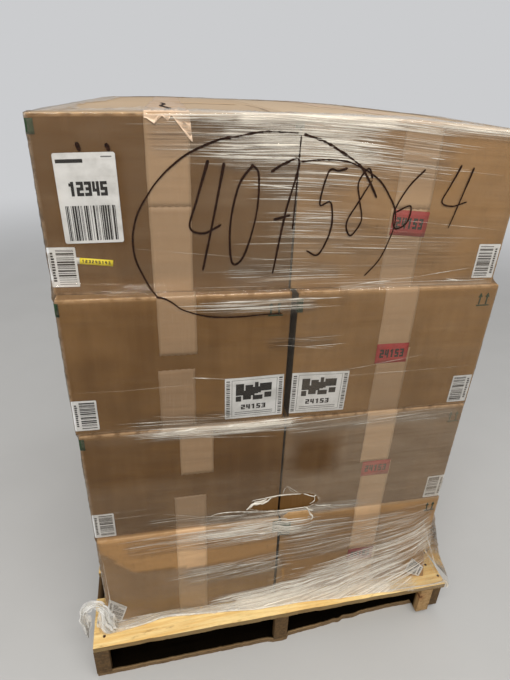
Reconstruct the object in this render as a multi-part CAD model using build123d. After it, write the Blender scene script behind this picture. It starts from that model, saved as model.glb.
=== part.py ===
from build123d import *
import math
import os

os.makedirs("parts", exist_ok=True)

# Millimetres. X runs along the front, Y into the load from the front, Z up.
# The origin is the middle of the pallet's footprint, on the floor.

# Pallet
PALLET_WIDTH = 1016
PALLET_DEPTH = 1219
DECK_THICK = 19
STRINGER_HEIGHT = 95
STRINGER_THICK = 38
BOTTOM_THICK = 16
LEAD_BOARD = 140
INNER_BOARD = 89
INNER_DECK_BOARDS = 5
INNER_BOTTOM_BOARDS = 3
INNER_BOTTOM_PITCH = 155
NOTCH_FROM_END = 152
NOTCH_LENGTH = 229
NOTCH_HEIGHT = 38
NOTCH_CORNER = 13
RIGHT_OUTER_SETBACK = 12
NAIL_HEAD = 8
NAIL_THICK = 1.2
NAIL_POCKET = 1.6
NAIL_CLEAR = 0.2
BOARD_EDGE_ROUND = 1.5

# Cartons
CARTON_WIDTH = 455
CARTON_LENGTH = 555
CARTON_HEIGHT = 312
CARTON_EDGE_ROUND = 2.5
FLAP_SEAM = 3
FLAP_SEAM_DEEP = 2
ROW_GAP = 2

# Each tier from the floor up: left edge x, how far the front face stands back from the pallet's
# front edge at its left and right ends, and the gap between the left and right cartons.
TIERS = {
    4: (-468.5, 64, 53, 4),
    3: (-472, 73, 52, 2.2),
    2: (-477, 78, 56, 11.7),
    1: (-480, 104, 64, 1.5),
}

# The bottom tier's two front corners are crushed: each foot has spread sideways and forwards,
# and the fold dies out along the front, along the side and up the corner.
CRUSHED_FOOT = {"left": (-6, -12), "right": (8, -20)}
CRUSH_ALONG_FRONT = 95
CRUSH_ALONG_SIDE = 70
CRUSH_UP = 100

# Tape
TAPE_WIDTH = 76
TAPE_THICK = 0.4
TAPE_POCKET = 0.5
TAPE_SIDE_CLEAR = 0.3
TAPE_OVER_EDGE_CLEAR = 0.1
# The top and the bottom strip of each front carton: how far it sits off the carton's middle,
# and how long its tail on the front face is.
FRONT_TAPES = {
    (4, "left"): ((0, 150), (0, 161)),
    (4, "right"): ((14, 150), (22, 161)),
    (3, "left"): ((23, 134), (5, 112)),
    (3, "right"): ((10, 150), (20, 161)),
    (2, "left"): ((-4, 128), (-9.5, 151)),
    (2, "right"): ((0, 140), (5, 171)),
    (1, "left"): ((-4, 147), (-4, 164)),
    (1, "right"): ((5, 150), (0, 161)),
}
BACK_TAIL = 90

# Stretch wrap
WRAP_CLEAR = 0.3
WRAP_THICK = 1.6
TOP_FOLD = 95
SKIRT_HEIGHT = 130
SKIRT_OUT = {"front_left": (20, 18), "front_right": (44, 42), "back_right": (25, 14), "back_left": (14, 14)}
TENT_HEIGHT = 285
TENT_ALONG_FRONT = 260
TENT_ALONG_SIDE = 330
# The tear: its outline across the front and up from the seam under the third tier
TEAR_OUTLINE = (
    (-92, 52), (-63, 75), (-3, 78), (50, 71), (86, 60), (96, 41), (80, 12), (42, 8), (-26, 20), (-71, 35),
)

DECK_TOP = BOTTOM_THICK + STRINGER_HEIGHT + DECK_THICK
FRONT = -PALLET_DEPTH / 2
BACK = PALLET_DEPTH / 2
SIDE = PALLET_WIDTH / 2


def place(shape, x=0, y=0, z=0, turn=0):
    return Pos(x, y, z) * Rot(0, 0, turn) * shape


def slab(x0, x1, y0, y1, z0, z1):
    return Pos((x0 + x1) / 2, (y0 + y1) / 2, (z0 + z1) / 2) * Box(x1 - x0, y1 - y0, z1 - z0)


def prism(points, z0, z1):
    face = make_face(Polyline(*[(x, y, z0) for x, y in points], close=True))
    return extrude(face, amount=z1 - z0, dir=(0, 0, 1))


def save(shape, name):
    shape.label = name
    export_step(shape, f"parts/{name}.step")


# Stringers, with the four-way fork notches cut up from below
def stringer(x, front_setback=0):
    low, high = BOTTOM_THICK, BOTTOM_THICK + STRINGER_HEIGHT
    half = STRINGER_THICK / 2
    body = slab(x - half, x + half, FRONT + front_setback, BACK, low, high)
    for side in (-1, 1):
        near = side * (PALLET_DEPTH / 2 - NOTCH_FROM_END - NOTCH_LENGTH / 2)
        notch = slab(
            x - half - 1, x + half + 1, near - NOTCH_LENGTH / 2, near + NOTCH_LENGTH / 2,
            low - NOTCH_HEIGHT, low + NOTCH_HEIGHT,
        )
        notch = fillet(notch.edges().filter_by(Axis.X).group_by(Axis.Z)[-1], NOTCH_CORNER)
        body -= notch
    return body


half_stringer = STRINGER_THICK / 2
stringer_x = {
    "pallet_stringer_left": -SIDE + half_stringer,
    "pallet_stringer_middle": 0,
    "pallet_stringer_right_companion": SIDE - 3 * half_stringer,
    "pallet_stringer_right": SIDE - half_stringer,
}
for name, x in stringer_x.items():
    save(stringer(x, RIGHT_OUTER_SETBACK if name == "pallet_stringer_right" else 0), name)

# Deck boards across the stringers, the nail heads let into them
widths = [LEAD_BOARD] + [INNER_BOARD] * INNER_DECK_BOARDS + [LEAD_BOARD]
deck_gap = (PALLET_DEPTH - sum(widths)) / (len(widths) - 1)
nail_columns = [stringer_x["pallet_stringer_left"], 0, stringer_x["pallet_stringer_right"]]
nails = []
edge = FRONT
for number, width in enumerate(widths, 1):
    board = slab(-SIDE, SIDE, edge, edge + width, DECK_TOP - DECK_THICK, DECK_TOP)
    board = chamfer(board.edges().filter_by(Axis.X).group_by(Axis.Z)[-1], BOARD_EDGE_ROUND)
    rows = (0.2, 0.5, 0.8) if width == LEAD_BOARD else (0.27, 0.73)
    for column, x in enumerate(nail_columns):
        for row, share in enumerate(rows):
            at = (x + 9 * (-1) ** (row + column), edge + width * share)
            turn = 17 * row + 31 * column
            pocket = extrude(RegularPolygon(NAIL_HEAD / 2 + NAIL_CLEAR, 8), NAIL_POCKET + 1)
            board -= place(pocket, at[0], at[1], DECK_TOP - NAIL_POCKET, turn)
            head = extrude(RegularPolygon(NAIL_HEAD / 2, 8), NAIL_THICK)
            nails.append(place(head, at[0], at[1], DECK_TOP - NAIL_POCKET, turn))
    save(board, f"pallet_deck_board_{number}")
    edge += width + deck_gap
save(Compound(children=nails), "pallet_nail_heads")

# Bottom boards; the front one is worn back along its front edge and split in the right bay
bottom_y = {}
for number in range(INNER_BOTTOM_BOARDS):
    middle = (number - (INNER_BOTTOM_BOARDS - 1) / 2) * INNER_BOTTOM_PITCH
    bottom_y[number + 2] = (middle - INNER_BOARD / 2, INNER_BOARD)
bottom_y[INNER_BOTTOM_BOARDS + 2] = (BACK - LEAD_BOARD, LEAD_BOARD)
worn_edge = (
    (-SIDE, 2), (-300, 3), (-30, 6), (28, 12), (150, 20), (172, 24), (186, 21), (205, 29),
    (236, 27), (262, 33), (330, 36), (420, 37), (SIDE, 38),
)
front_board = [(x, FRONT + back) for x, back in worn_edge]
front_board += [(SIDE, FRONT + LEAD_BOARD), (-SIDE, FRONT + LEAD_BOARD)]
save(prism(front_board, 0, BOTTOM_THICK), "pallet_bottom_board_1")
for number, (start, width) in bottom_y.items():
    board = slab(-SIDE, SIDE, start, start + width, 0, BOTTOM_THICK)
    board = chamfer(board.edges().filter_by(Axis.X).group_by(Axis.Z)[0], BOARD_EDGE_ROUND)
    save(board, f"pallet_bottom_board_{number}")


# One closed carton, front left bottom corner at the origin. The flaps' seam and the tape's
# shallow bed run along it, top and bottom. strips are the top and the bottom strip of tape.
def carton(strips):
    box = slab(0, CARTON_WIDTH, 0, CARTON_LENGTH, 0, CARTON_HEIGHT)
    box = fillet(box.edges().filter_by(Axis.Z), CARTON_EDGE_ROUND)
    middle = CARTON_WIDTH / 2
    bed = TAPE_WIDTH / 2 + TAPE_SIDE_CLEAR
    for level, inward, (off, tail) in ((CARTON_HEIGHT, -1, strips[0]), (0, 1, strips[1])):
        for x, half, deep in ((middle + off, bed, TAPE_POCKET), (middle, FLAP_SEAM / 2, FLAP_SEAM_DEEP)):
            z0, z1 = sorted((level, level + inward * deep))
            box -= slab(x - half, x + half, -1, CARTON_LENGTH + 1, z0, z1)
    return box


# The spread foot of a crushed corner, for a carton in the same place as carton() makes it
def crushed_corner(side):
    corner, inward = (0, 1) if side == "left" else (CARTON_WIDTH, -1)
    out_x, out_y = CRUSHED_FOOT[side]
    base = make_face(Polyline(
        (corner + inward * CRUSH_ALONG_FRONT, 0, 0), (corner + out_x, out_y, 0), (corner, CRUSH_ALONG_SIDE, 0),
        close=True,
    ))
    return loft([base, Vertex(corner + inward * CARTON_EDGE_ROUND, CARTON_EDGE_ROUND, CRUSH_UP)])


def tape(strips_at):
    lie = TAPE_POCKET - TAPE_OVER_EDGE_CLEAR
    half = TAPE_WIDTH / 2
    out = TAPE_THICK
    strips = []
    for top, (off, front_tail) in zip((True, False), strips_at):
        x0, x1 = CARTON_WIDTH / 2 + off - half, CARTON_WIDTH / 2 + off + half
        z_in = CARTON_HEIGHT - TAPE_POCKET if top else TAPE_POCKET
        z_out = z_in + lie if top else z_in - lie
        z0, z1 = sorted((z_in, z_out))
        strip = slab(x0, x1, -out, CARTON_LENGTH + out, z0, z1)
        for y0, y1, tail in ((-out, 0, front_tail), (CARTON_LENGTH, CARTON_LENGTH + out, BACK_TAIL)):
            a, b = sorted((z_out, CARTON_HEIGHT - tail if top else tail))
            strip += slab(x0, x1, y0, y1, a, b)
        strips.append(strip)
    return strips


# The four tiers, each two cartons wide and two deep
footprints = {}
for tier, (left, back_left, back_right, gap) in TIERS.items():
    level = DECK_TOP + (4 - tier) * CARTON_HEIGHT
    span = 2 * CARTON_WIDTH + gap
    turn = math.degrees(math.atan2(back_right - back_left, span))
    rad = math.radians(turn)
    along, inward = (math.cos(rad), math.sin(rad)), (-math.sin(rad), math.cos(rad))
    start = (left, FRONT + back_left)
    tapes = []
    corners = []
    for side, offset in (("left", 0), ("right", CARTON_WIDTH + gap)):
        for row, deep in (("front", 0), ("back", CARTON_LENGTH + ROW_GAP)):
            x = start[0] + offset * along[0] + deep * inward[0]
            y = start[1] + offset * along[1] + deep * inward[1]
            strips = FRONT_TAPES[(tier, side)] if row == "front" else ((0, BACK_TAIL), (0, BACK_TAIL))
            box = carton(strips)
            if tier == 4 and row == "front":
                box += crushed_corner(side)
            save(place(box, x, y, level, turn), f"carton_tier_{tier}_{row}_{side}")
            for strip in tape(strips):
                tapes.append(place(strip, x, y, level, turn))
    save(Compound(children=tapes), f"carton_tape_tier_{tier}")
    depth = 2 * CARTON_LENGTH + ROW_GAP
    for u, v in ((0, 0), (span, 0), (span, depth), (0, depth)):
        corners.append((start[0] + u * along[0] + v * inward[0], start[1] + u * along[1] + v * inward[1]))
    footprints[tier] = (corners, along, inward, level)


# Stretch wrap: a close sleeve around the tiers, stepping with them, folded over the top edge
def grown(tier, out):
    corners, along, inward, level = footprints[tier]
    signs = ((-1, -1), (1, -1), (1, 1), (-1, 1))
    return [
        (x + out * (su * along[0] + sv * inward[0]), y + out * (su * along[1] + sv * inward[1]))
        for (x, y), (su, sv) in zip(corners, signs)
    ]


face_clear = WRAP_CLEAR + TAPE_THICK
inner = None
outer = None
for tier in TIERS:
    level = footprints[tier][3]
    top = level + CARTON_HEIGHT
    extra = WRAP_THICK
    core = prism(grown(tier, face_clear), level - (WRAP_CLEAR if tier != 4 else 1), top + WRAP_CLEAR)
    skin_low = level - WRAP_CLEAR - extra if tier != 4 else DECK_TOP
    skin = prism(grown(tier, face_clear + extra), skin_low, top + WRAP_CLEAR + extra)
    inner = core if inner is None else inner + core
    outer = skin if outer is None else outer + skin

# the skirt, pulled out towards the pallet's corners at the bottom
signs = {"front_left": (-1, -1), "front_right": (1, -1), "back_right": (1, 1), "back_left": (-1, 1)}


def skirt(out):
    top_points = grown(4, face_clear + out)
    low_points = [
        (x + signs[c][0] * (SKIRT_OUT[c][0] + out), y + signs[c][1] * (SKIRT_OUT[c][1] + out))
        for (x, y), c in zip(grown(4, face_clear), SKIRT_OUT)
    ]
    faces = []
    for points, z in ((low_points, DECK_TOP), (top_points, DECK_TOP + SKIRT_HEIGHT)):
        faces.append(make_face(Polyline(*[(x, y, z) for x, y in points], close=True)))
    return loft(faces, ruled=True)


# the tent of loose film between the bottom tier's right front edge and the pallet's corner
def tent(out):
    corners, along, inward, level = footprints[4]
    corner_x, corner_y = grown(4, face_clear + out)[1]
    foot = (corner_x + SKIRT_OUT["front_right"][0], corner_y - SKIRT_OUT["front_right"][1], level)
    front = (corner_x - TENT_ALONG_FRONT * along[0], corner_y - TENT_ALONG_FRONT * along[1], level)
    side = (corner_x + TENT_ALONG_SIDE * inward[0], corner_y + TENT_ALONG_SIDE * inward[1], level)
    base = make_face(Polyline(front, foot, side, close=True))
    return loft([base, Vertex(corner_x, corner_y, level + TENT_HEIGHT + 2 * out)])


outer += [skirt(WRAP_THICK), tent(WRAP_THICK)]
inner += [skirt(0), tent(0)]
wrap = outer - inner
top = DECK_TOP + 4 * CARTON_HEIGHT
wrap -= prism(grown(1, -TOP_FOLD), top - 5, top + 20)
seam = DECK_TOP + CARTON_HEIGHT
tear = make_face(Polyline(*[(x, FRONT, seam + z) for x, z in TEAR_OUTLINE], close=True))
wrap -= extrude(tear, amount=150, dir=(0, 1, 0))
save(wrap, "stretch_wrap")
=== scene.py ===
import math
import random

import bmesh
import bpy
import numpy as np
from mathutils import Matrix, Vector


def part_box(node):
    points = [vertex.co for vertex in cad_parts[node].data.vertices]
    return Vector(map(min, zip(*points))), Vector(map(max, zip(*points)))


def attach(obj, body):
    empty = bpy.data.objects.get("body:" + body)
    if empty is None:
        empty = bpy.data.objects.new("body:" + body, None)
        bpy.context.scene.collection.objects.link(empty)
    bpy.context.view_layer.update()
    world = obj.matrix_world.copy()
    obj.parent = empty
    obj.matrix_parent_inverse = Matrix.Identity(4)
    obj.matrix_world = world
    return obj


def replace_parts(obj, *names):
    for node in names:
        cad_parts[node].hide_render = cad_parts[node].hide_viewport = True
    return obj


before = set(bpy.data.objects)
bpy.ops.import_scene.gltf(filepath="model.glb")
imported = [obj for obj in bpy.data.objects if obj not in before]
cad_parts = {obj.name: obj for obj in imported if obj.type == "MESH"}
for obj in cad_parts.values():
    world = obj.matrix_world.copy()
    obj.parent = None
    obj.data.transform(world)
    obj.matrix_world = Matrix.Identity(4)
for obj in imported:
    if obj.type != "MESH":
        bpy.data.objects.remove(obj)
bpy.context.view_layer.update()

# Everything is worked out in millimetres and scaled once, where a mesh is made.
MM = 0.001
rng = random.Random(7)

# Places on the load's front are given as (u, v): u from a tier's left end, v up from its floor.
TIER_COUNT = 4
PALLET_HALF_WIDE = 508.0
PALLET_HALF_LONG = 609.5
EDGE_ROUND = 4.0
BULGE = 3.2
BULGE_VARIES = 1.4
FLAP_RISE = 3.0
ROW_GAP = 2.0

# A point this close to a face of the plain box lies on that face
ON_FACE = 0.3

# Tape strips on the front cartons: top strip (offset, tail), bottom strip (offset, tail)
TAPE_WIDTH = 76.0
FRONT_TAPES = {
    (4, "left"): ((0, 150), (0, 161)),
    (4, "right"): ((14, 150), (22, 161)),
    (3, "left"): ((23, 134), (5, 112)),
    (3, "right"): ((10, 150), (20, 161)),
    (2, "left"): ((-4, 128), (-9.5, 151)),
    (2, "right"): ((0, 140), (5, 171)),
    (1, "left"): ((-4, 147), (-4, 164)),
    (1, "right"): ((5, 150), (0, 161)),
}
BACK_TAIL = 90.0

# Heights above the surface, one on the other
TAPE_OUT = 0.35
LABEL_OUT = 0.95
MARK_OUT = 0.95
FILM_OUT = 1.5

# The crushed feet of the bottom tier's front corners, as in the model
CRUSHED_FOOT = {"left": (-6, -12), "right": (8, -20)}
CRUSH_ALONG_FRONT = 95.0
CRUSH_ALONG_SIDE = 70.0
CRUSH_UP = 100.0

# The sprung top edge of the bottom right carton, under the tear
LIP_UP = 17.0
LIP_OUT = 9.0


def srgb(red, green, blue):
    """Linear colour from the usual 0 to 255 numbers."""
    return tuple((c / 255 / 12.92 if c <= 10 else ((c / 255 + 0.055) / 1.055) ** 2.4) for c in (red, green, blue))


# Noise on numpy arrays

def lattice(ix, iy, seed):
    h = (ix.astype(np.int64) * 374761393 + iy.astype(np.int64) * 668265263 + seed * 974634777) & 0xFFFFFFFF
    h = ((h ^ (h >> 13)) * 1274126177) & 0xFFFFFFFF
    return ((h ^ (h >> 16)) & 0xFFFF) / 32767.5 - 1


def noise(x, y, seed=0):
    """Smooth noise from -1 to 1."""
    x, y = np.broadcast_arrays(np.asarray(x, float), np.asarray(y, float))
    ix, iy = np.floor(x), np.floor(y)
    fx, fy = x - ix, y - iy
    fx, fy = fx * fx * (3 - 2 * fx), fy * fy * (3 - 2 * fy)
    low = lattice(ix, iy, seed) * (1 - fx) + lattice(ix + 1, iy, seed) * fx
    high = lattice(ix, iy + 1, seed) * (1 - fx) + lattice(ix + 1, iy + 1, seed) * fx
    return low * (1 - fy) + high * fy


def ridges(x, y, seed=0):
    """Narrow crests, from 0 to 1."""
    return np.clip(1 - np.abs(noise(x, y, seed)) * 2.2, 0, 1) ** 2


def ramp(value, low, high):
    """0 below low, 1 above high and a soft step between."""
    t = np.clip((np.asarray(value, float) - low) / (high - low), 0, 1)
    return t * t * (3 - 2 * t)


def unit(vectors):
    return vectors / (np.linalg.norm(vectors, axis=-1, keepdims=True) + 1e-9)


def across_path(path, wide, shares):
    """Places beside a flat path, at shares of its width."""
    way = unit(np.gradient(path, axis=0))
    side = np.stack((-way[:, 1], way[:, 0]), 1)
    return path[:, None, :] + side[:, None, :] * (wide[:, None] * shares)[..., None]


def rounded(box, size, radius, out=0.0):
    """Points of a plain box moved onto one with round edges, or out millimetres off it."""
    core = np.clip(box, radius, size - radius)
    off = box - core
    reach = np.linalg.norm(off, axis=-1, keepdims=True)
    spread = np.asarray(out, float)[..., None] if np.ndim(out) else out
    return core + off / np.where(reach == 0, 1, reach) * (radius + spread)


# Meshes

class Shape:
    """Points, faces and one named value per point, gathered from patches."""

    def __init__(self):
        self.points, self.faces, self.values, self.count = [], [], {}, 0

    def add(self, points, faces, **values):
        points = np.asarray(points, float).reshape(-1, 3)
        self.faces += [[i + self.count for i in face] for face in faces]
        self.points.append(points)
        for key, value in values.items():
            spread = np.broadcast_to(np.asarray(value, float), (len(points),))
            self.values.setdefault(key, []).append(spread)
        self.count += len(points)

    def grid(self, points, flip=False, **values):
        """A net of four-sided faces over rows and columns of points."""
        rows, cols = points.shape[:2]
        faces = []
        for i in range(rows - 1):
            for j in range(i * cols, (i + 1) * cols - 1):
                ring = (j, j + 1, j + 1 + cols, j + cols)
                faces.append(ring[::-1] if flip else ring)
        self.add(points, faces, **{n: np.asarray(v, float).reshape(-1) for n, v in values.items()})

    def build(self, name, material, solid=0.0):
        mesh = bpy.data.meshes.new(name)
        mesh.from_pydata((np.concatenate(self.points) * MM).tolist(), [], self.faces)
        for key, value in self.values.items():
            layer = mesh.attributes.new(key, "FLOAT", "POINT")
            layer.data.foreach_set("value", np.concatenate(value).astype(np.float32))
        mesh.materials.append(material)
        mesh.shade_smooth()
        mesh.validate()
        piece = bpy.data.objects.new(name, mesh)
        bpy.context.scene.collection.objects.link(piece)
        if solid:
            thick = piece.modifiers.new("thickness", "SOLIDIFY")
            thick.thickness = solid * MM
            thick.offset = -1
        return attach(piece, "root")


# Materials

class Paint:
    """A material whose nodes are added by short calls. A value is a number, a colour or another node's output."""

    def __init__(self, name):
        self.material = bpy.data.materials.new(name)
        self.material.use_nodes = True
        self.tree = self.material.node_tree
        self.tree.nodes.clear()

    def node(self, kind, settings=None, **inputs):
        made = self.tree.nodes.new(kind)
        for key, value in (settings or {}).items():
            setattr(made, key, value)
        for key, value in inputs.items():
            socket = made.inputs[int(key[1:])] if key[0] == "_" else made.inputs[key.replace("_", " ")]
            if isinstance(value, bpy.types.NodeSocket):
                self.tree.links.new(value, socket)
            elif socket.type == "RGBA" and len(value) == 3:
                socket.default_value = (*value, 1)
            else:
                socket.default_value = value
        return made

    def math(self, operation, a, b=0.0, clamp=False):
        return self.node("ShaderNodeMath", {"operation": operation, "use_clamp": clamp}, _0=a, _1=b).outputs[0]

    def times(self, a, b, clamp=False):
        return self.math("MULTIPLY", a, b, clamp)

    def plus(self, a, b, clamp=False):
        return self.math("ADD", a, b, clamp)

    def value(self, name):
        return self.node("ShaderNodeAttribute", {"attribute_name": name}).outputs["Fac"]

    def place(self):
        return self.node("ShaderNodeTexCoord").outputs["Object"]

    def axes(self, vector):
        return self.node("ShaderNodeSeparateXYZ", None, Vector=vector).outputs

    def flow(self, along, across):
        """Two of a mesh's named values as a place."""
        return self.node("ShaderNodeCombineXYZ", None, X=self.value(along), Y=self.value(across), Z=0.0).outputs[0]

    def noise(self, vector, scale, detail=3.0, rough=0.55):
        made = self.node("ShaderNodeTexNoise", None, Vector=vector, Scale=scale, Detail=detail, Roughness=rough)
        return made.outputs["Fac"]

    def stretch(self, vector, scale):
        return self.node("ShaderNodeMapping", None, Vector=vector, Scale=scale).outputs[0]

    def streaks(self, flow, along, across, detail=2.0, rough=0.5):
        """Noise with so many cells to a metre along and across a flow."""
        return self.noise(self.stretch(flow, (along, across, 1.0)), 1.0, detail, rough)

    def band(self, value, low, high, out_low=0.0, out_high=1.0):
        made = self.node(
            "ShaderNodeMapRange", {"interpolation_type": "SMOOTHSTEP"},
            _0=value, _1=low, _2=high, _3=out_low, _4=out_high,
        )
        return made.outputs[0]

    def mix(self, factor, a, b):
        return self.node("ShaderNodeMix", {"data_type": "RGBA"}, _0=factor, _6=a, _7=b).outputs[2]

    def bump(self, height, strength, distance):
        return self.node("ShaderNodeBump", None, Strength=strength, Distance=distance, Height=height).outputs[0]

    def surface(self, colour, roughness, normal=None, specular=0.5, metallic=0.0):
        made = self.node("ShaderNodeBsdfPrincipled", None, Base_Color=colour, Roughness=roughness)
        made.inputs["Specular IOR Level"].default_value = specular
        made.inputs["Metallic"].default_value = metallic
        if normal is not None:
            self.tree.links.new(normal, made.inputs["Normal"])
        return made.outputs[0]

    def clear(self, colour):
        return self.node("ShaderNodeBsdfTransparent", None, Color=colour).outputs[0]

    def blend(self, share, first, second):
        return self.node("ShaderNodeMixShader", None, _0=share, _1=first, _2=second).outputs[0]

    def finish(self, shader):
        self.node("ShaderNodeOutputMaterial", None, Surface=shader)
        return self.material


KRAFT_DARK = srgb(95, 62, 15)
KRAFT_PALE = srgb(180, 140, 90)
# Painted sheen: the top tier's top faces are mixed towards this paler colour for the light they catch
KRAFT_TOP_SHEEN = srgb(182, 162, 136)
FLUTE_PITCH = 7.9 * MM

# How pale each front carton's board is, from 0 to 1, partly its own tone and partly painted light and shade on its
# front, and the back row's
BOARD_TONE = {
    (1, "left"): 0.02, (1, "right"): 0.55, (2, "left"): 0.21, (2, "right"): 0.38, (3, "left"): 0.11,
    (3, "right"): 0.02, (4, "left"): 0.80, (4, "right"): 0.66,
}
BACK_TONE = 0.45


def cardboard():
    """Kraft board with fine fibres, faint flutes and paler rubbed edges, with a painted sheen on the load's top and
    painted shade in the gaps between the front cartons.
    """
    p = Paint("kraft_board")
    place = p.place()
    spot, facing = p.axes(place), p.axes(p.node("ShaderNodeNewGeometry").outputs["True Normal"])
    sideways = p.math("GREATER_THAN", p.math("ABSOLUTE", facing[0]), 0.6)
    across = p.plus(p.times(spot[0], p.math("SUBTRACT", 1.0, sideways)), p.times(spot[1], sideways))
    flutes = p.math("SINE", p.times(across, 2 * math.pi / FLUTE_PITCH))
    fibres = p.noise(p.stretch(place, (1, 1, 0.3)), 1300.0, 3.0, 0.7)
    blotch = p.noise(place, 5.0, 3.0, 0.6)
    bands = p.noise(p.stretch(place, (1, 1, 0.08)), 45.0, 2.0, 0.5)
    speck = p.noise(p.stretch(place, (1, 1, 0.5)), 120.0, 2.0, 0.5)
    tone = p.plus(p.value("tone"), p.band(blotch, 0.3, 0.7, -0.10, 0.10))
    tone = p.plus(tone, p.band(bands, 0.3, 0.7, -0.035, 0.035), True)
    colour = p.mix(tone, KRAFT_DARK, KRAFT_PALE)
    # Painted sheen on the load's top
    colour = p.mix(p.value("pale"), colour, KRAFT_TOP_SHEEN)
    colour = p.mix(p.times(p.band(fibres, 0.52, 0.75), 0.02), colour, srgb(176, 142, 104))
    colour = p.mix(p.times(p.band(speck, 0.52, 0.76), 0.12), colour, srgb(70, 48, 29))
    # Painted shade on the faces in the gap between the front cartons
    colour = p.mix(p.times(p.value("joint"), 0.9), colour, srgb(16, 10, 6))
    colour = p.mix(p.times(p.band(flutes, -0.2, 1.0), 0.012), colour, KRAFT_PALE)
    worn = p.times(p.value("edge"), p.band(p.noise(place, 60.0), 0.3, 0.6))
    colour = p.mix(p.times(worn, 0.75), colour, srgb(190, 156, 116))
    height = p.plus(p.times(flutes, 0.10), p.times(fibres, 0.04))
    return p.finish(p.surface(colour, p.band(fibres, 0.3, 0.7, 0.62, 0.78), p.bump(height, 0.08, 0.0005), 0.35))


def packing_tape(name, dark, pale):
    p = Paint(name)
    place = p.place()
    long_grain = p.noise(p.stretch(place, (1.0, 1.0, 0.04)), 520.0, 2.0, 0.5)
    cloud = p.noise(place, 14.0, 3.0, 0.6)
    specks = p.noise(place, 700.0, 2.0, 0.6)
    colour = p.mix(p.value("tone"), dark, pale)
    colour = p.mix(p.band(cloud, 0.3, 0.7, 0.0, 0.25), colour, srgb(168, 140, 110))
    colour = p.mix(p.times(p.band(long_grain, 0.5, 0.75), 0.14), colour, srgb(196, 172, 144))
    height = p.plus(p.times(long_grain, 0.5), p.times(specks, 0.3))
    return p.finish(p.surface(colour, p.band(cloud, 0.3, 0.7, 0.32, 0.48), p.bump(height, 0.12, 0.0004), 0.4))


def paper(name, colour, dirt, gloss=0.45):
    """Paper or ink; gloss is its middle roughness."""
    p = Paint(name)
    place = p.place()
    cloud = p.noise(place, 30.0, 3.0, 0.6)
    grain = p.noise(place, 1200.0, 2.0, 0.6)
    shade = p.mix(p.band(cloud, 0.35, 0.75), colour, dirt)
    shade = p.mix(p.times(p.band(grain, 0.5, 0.8), 0.3), shade, dirt)
    rough = p.band(cloud, 0.3, 0.7, gloss - 0.06, gloss + 0.08)
    return p.finish(p.surface(shade, rough, p.bump(grain, 0.12, 0.0003)))


def marker_ink():
    """Brown-black ink, broken where the film under it is wrinkled."""
    p = Paint("marker_ink")
    streak = p.noise(p.place(), 420.0, 2.0, 0.6)
    colour = p.mix(p.band(streak, 0.4, 0.75), srgb(26, 14, 8), srgb(62, 38, 25))
    ink = p.surface(colour, p.band(streak, 0.3, 0.7, 0.7, 0.85), None, 0.15)
    gaps_in_it = p.noise(p.stretch(p.place(), (0.35, 0.35, 1.0)), 300.0, 2.0, 0.6)
    level = p.math("SUBTRACT", gaps_in_it, p.times(p.value("worn"), 0.24))
    return p.finish(p.blend(p.band(level, 0.12, 0.22, 0.45, 1.0), p.clear((1.0, 1.0, 1.0)), ink))


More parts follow.
